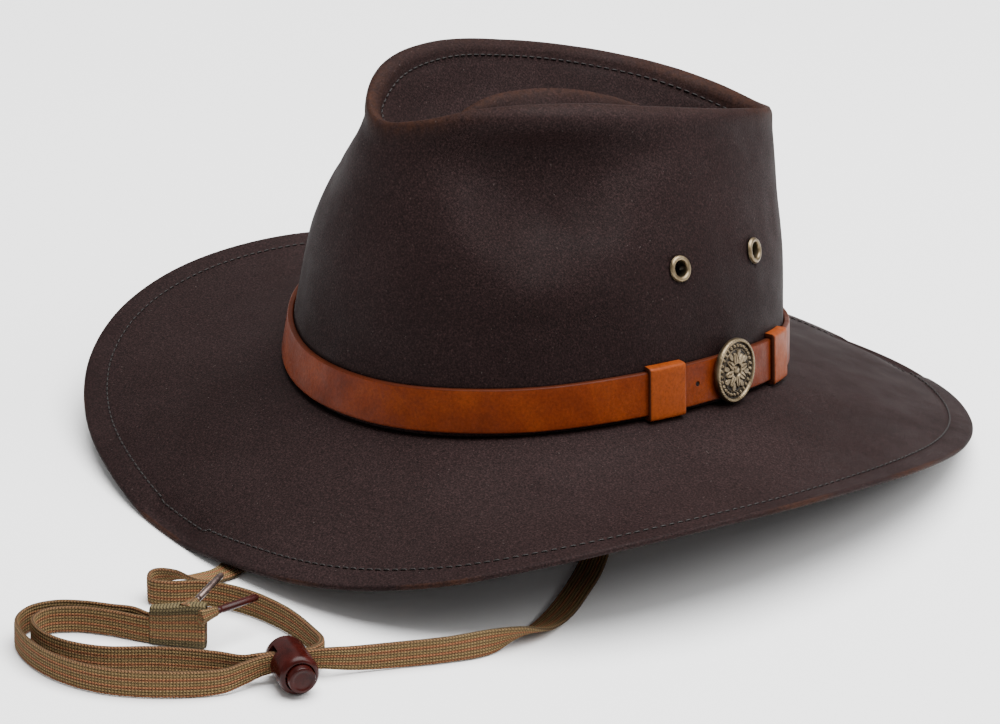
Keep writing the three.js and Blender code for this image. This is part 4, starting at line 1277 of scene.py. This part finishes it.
def add_concho():
    sides = 336
    field = np.linspace(0.25, CONCHO_RADIUS - 0.6, 62)
    radii = np.append(field, [CONCHO_RADIUS - 0.35, CONCHO_RADIUS - 0.12])[:, None]
    share = radii / CONCHO_RADIUS
    turn = round_turn(sides)
    rise = concho_relief(share, turn)
    height = CONCHO_FIELD + CONCHO_RELIEF * rise + CONCHO_DOME * (1 - share ** 2)
    face = columns(radii * np.cos(turn), radii * np.sin(turn), height)
    back = [(CONCHO_RADIUS, 1.7), (CONCHO_RADIUS, 0.5), (CONCHO_RADIUS - 0.5, 0), (4, 0), (0.5, 0)]
    middle = (0, 0, CONCHO_FIELD + CONCHO_RELIEF + CONCHO_DOME)
    rings = np.concatenate([face, round_rings(back, sides)])
    points, faces = capped_rings(rings, middle, (0, 0, 0))
    raised = np.concatenate([np.clip(rise, 0, 1).ravel() ** 0.8, np.full(len(back) * sides, 0.75), [1, 0.6]])
    angle = CONCHO_ANGLE
    low = beside_crown(angle, 0, BAND_RISE)
    high = beside_crown(angle, 0, BAND_RISE + BAND_HEIGHT)
    along = beside_crown(angle + 1, 0, BAND_MIDDLE) - beside_crown(angle - 1, 0, BAND_MIDDLE)
    normal = unit(np.cross(high - low, along))
    seat = beside_crown(angle, 2 * GAP + LEATHER, BAND_MIDDLE + CONCHO_LIFT)
    points = placed(points, seat, normal)
    add_piece("concho_disc", points, faces, brass, ["concho"], {"raised": raised})


def add_eyelets():
    inner, outer = -CLOTH - EYELET_SEAT, EYELET_SEAT
    half_ring = (EYELET_FLANGE - EYELET_HOLE) / 2
    crest = [
        (EYELET_HOLE + half_ring * (1 + math.cos(turn)), outer + 0.25 + EYELET_ROLL * math.sin(turn))
        for turn in np.radians([180, 155, 130, 105, 80, 55, 30, 5, -12])
    ]
    profile = [
        (EYELET_HOLE, inner - 0.6), (EYELET_HOLE + 0.5, inner - 1.0), (EYELET_FLANGE - 1.2, inner - 1.0),
        (EYELET_FLANGE - 0.7, inner - 0.6), (EYELET_FLANGE - 0.8, inner), (EYELET_BARREL, inner),
        (EYELET_BARREL, outer), (EYELET_FLANGE - 0.2, outer), (EYELET_FLANGE, outer + 0.15),
        *crest[::-1],
    ]
    points, faces = lathe(profile, 64)
    masks = {"raised": np.where(points[:, 2] > outer + 0.2, 0.95, 0.45)}
    for node, (point, normal) in eyelet_places().items():
        ring = placed(points, point, normal)
        add_piece(node + "_ring", ring, faces, brass, [node], masks)


add_concho()
add_eyelets()


# Studio

def add_floor():
    corners = [(x * FLOOR_HALF, y * FLOOR_HALF, 0) for x, y in ((-1, -1), (1, -1), (1, 1), (-1, 1))]
    mesh = new_mesh("floor", corners, [(0, 1, 2, 3)])
    floor = link_object("floor", mesh)
    floor.location.z = -FLOOR_DROP
    finish = Finish("floor_paper", Roughness=0.9, Specular_IOR_Level=0.1)
    tone = finish.mottle((3, 2), (0.3, (0.94, 0.94, 0.94)), (0.7, (0.96, 0.96, 0.96)))
    mesh.materials.append(finish.use(tone))


def add_light(name, place, target, size, power):
    data = bpy.data.lights.new(name, "AREA")
    data.shape = "DISK"
    data.size = size
    data.energy = power
    light = link_object(name, data)
    light.location = place
    light.rotation_euler = (Vector(target) - Vector(place)).to_track_quat("-Z", "Y").to_euler()


def add_world():
    world = bpy.data.worlds.new("studio")
    world.use_nodes = True
    background = world.node_tree.nodes["Background"]
    background.inputs["Color"].default_value = (1, 1, 1, 1)
    background.inputs["Strength"].default_value = WORLD_STRENGTH
    bpy.context.scene.world = world


add_floor()
add_world()
for name, light in LIGHTS.items():
    add_light(name, *light)
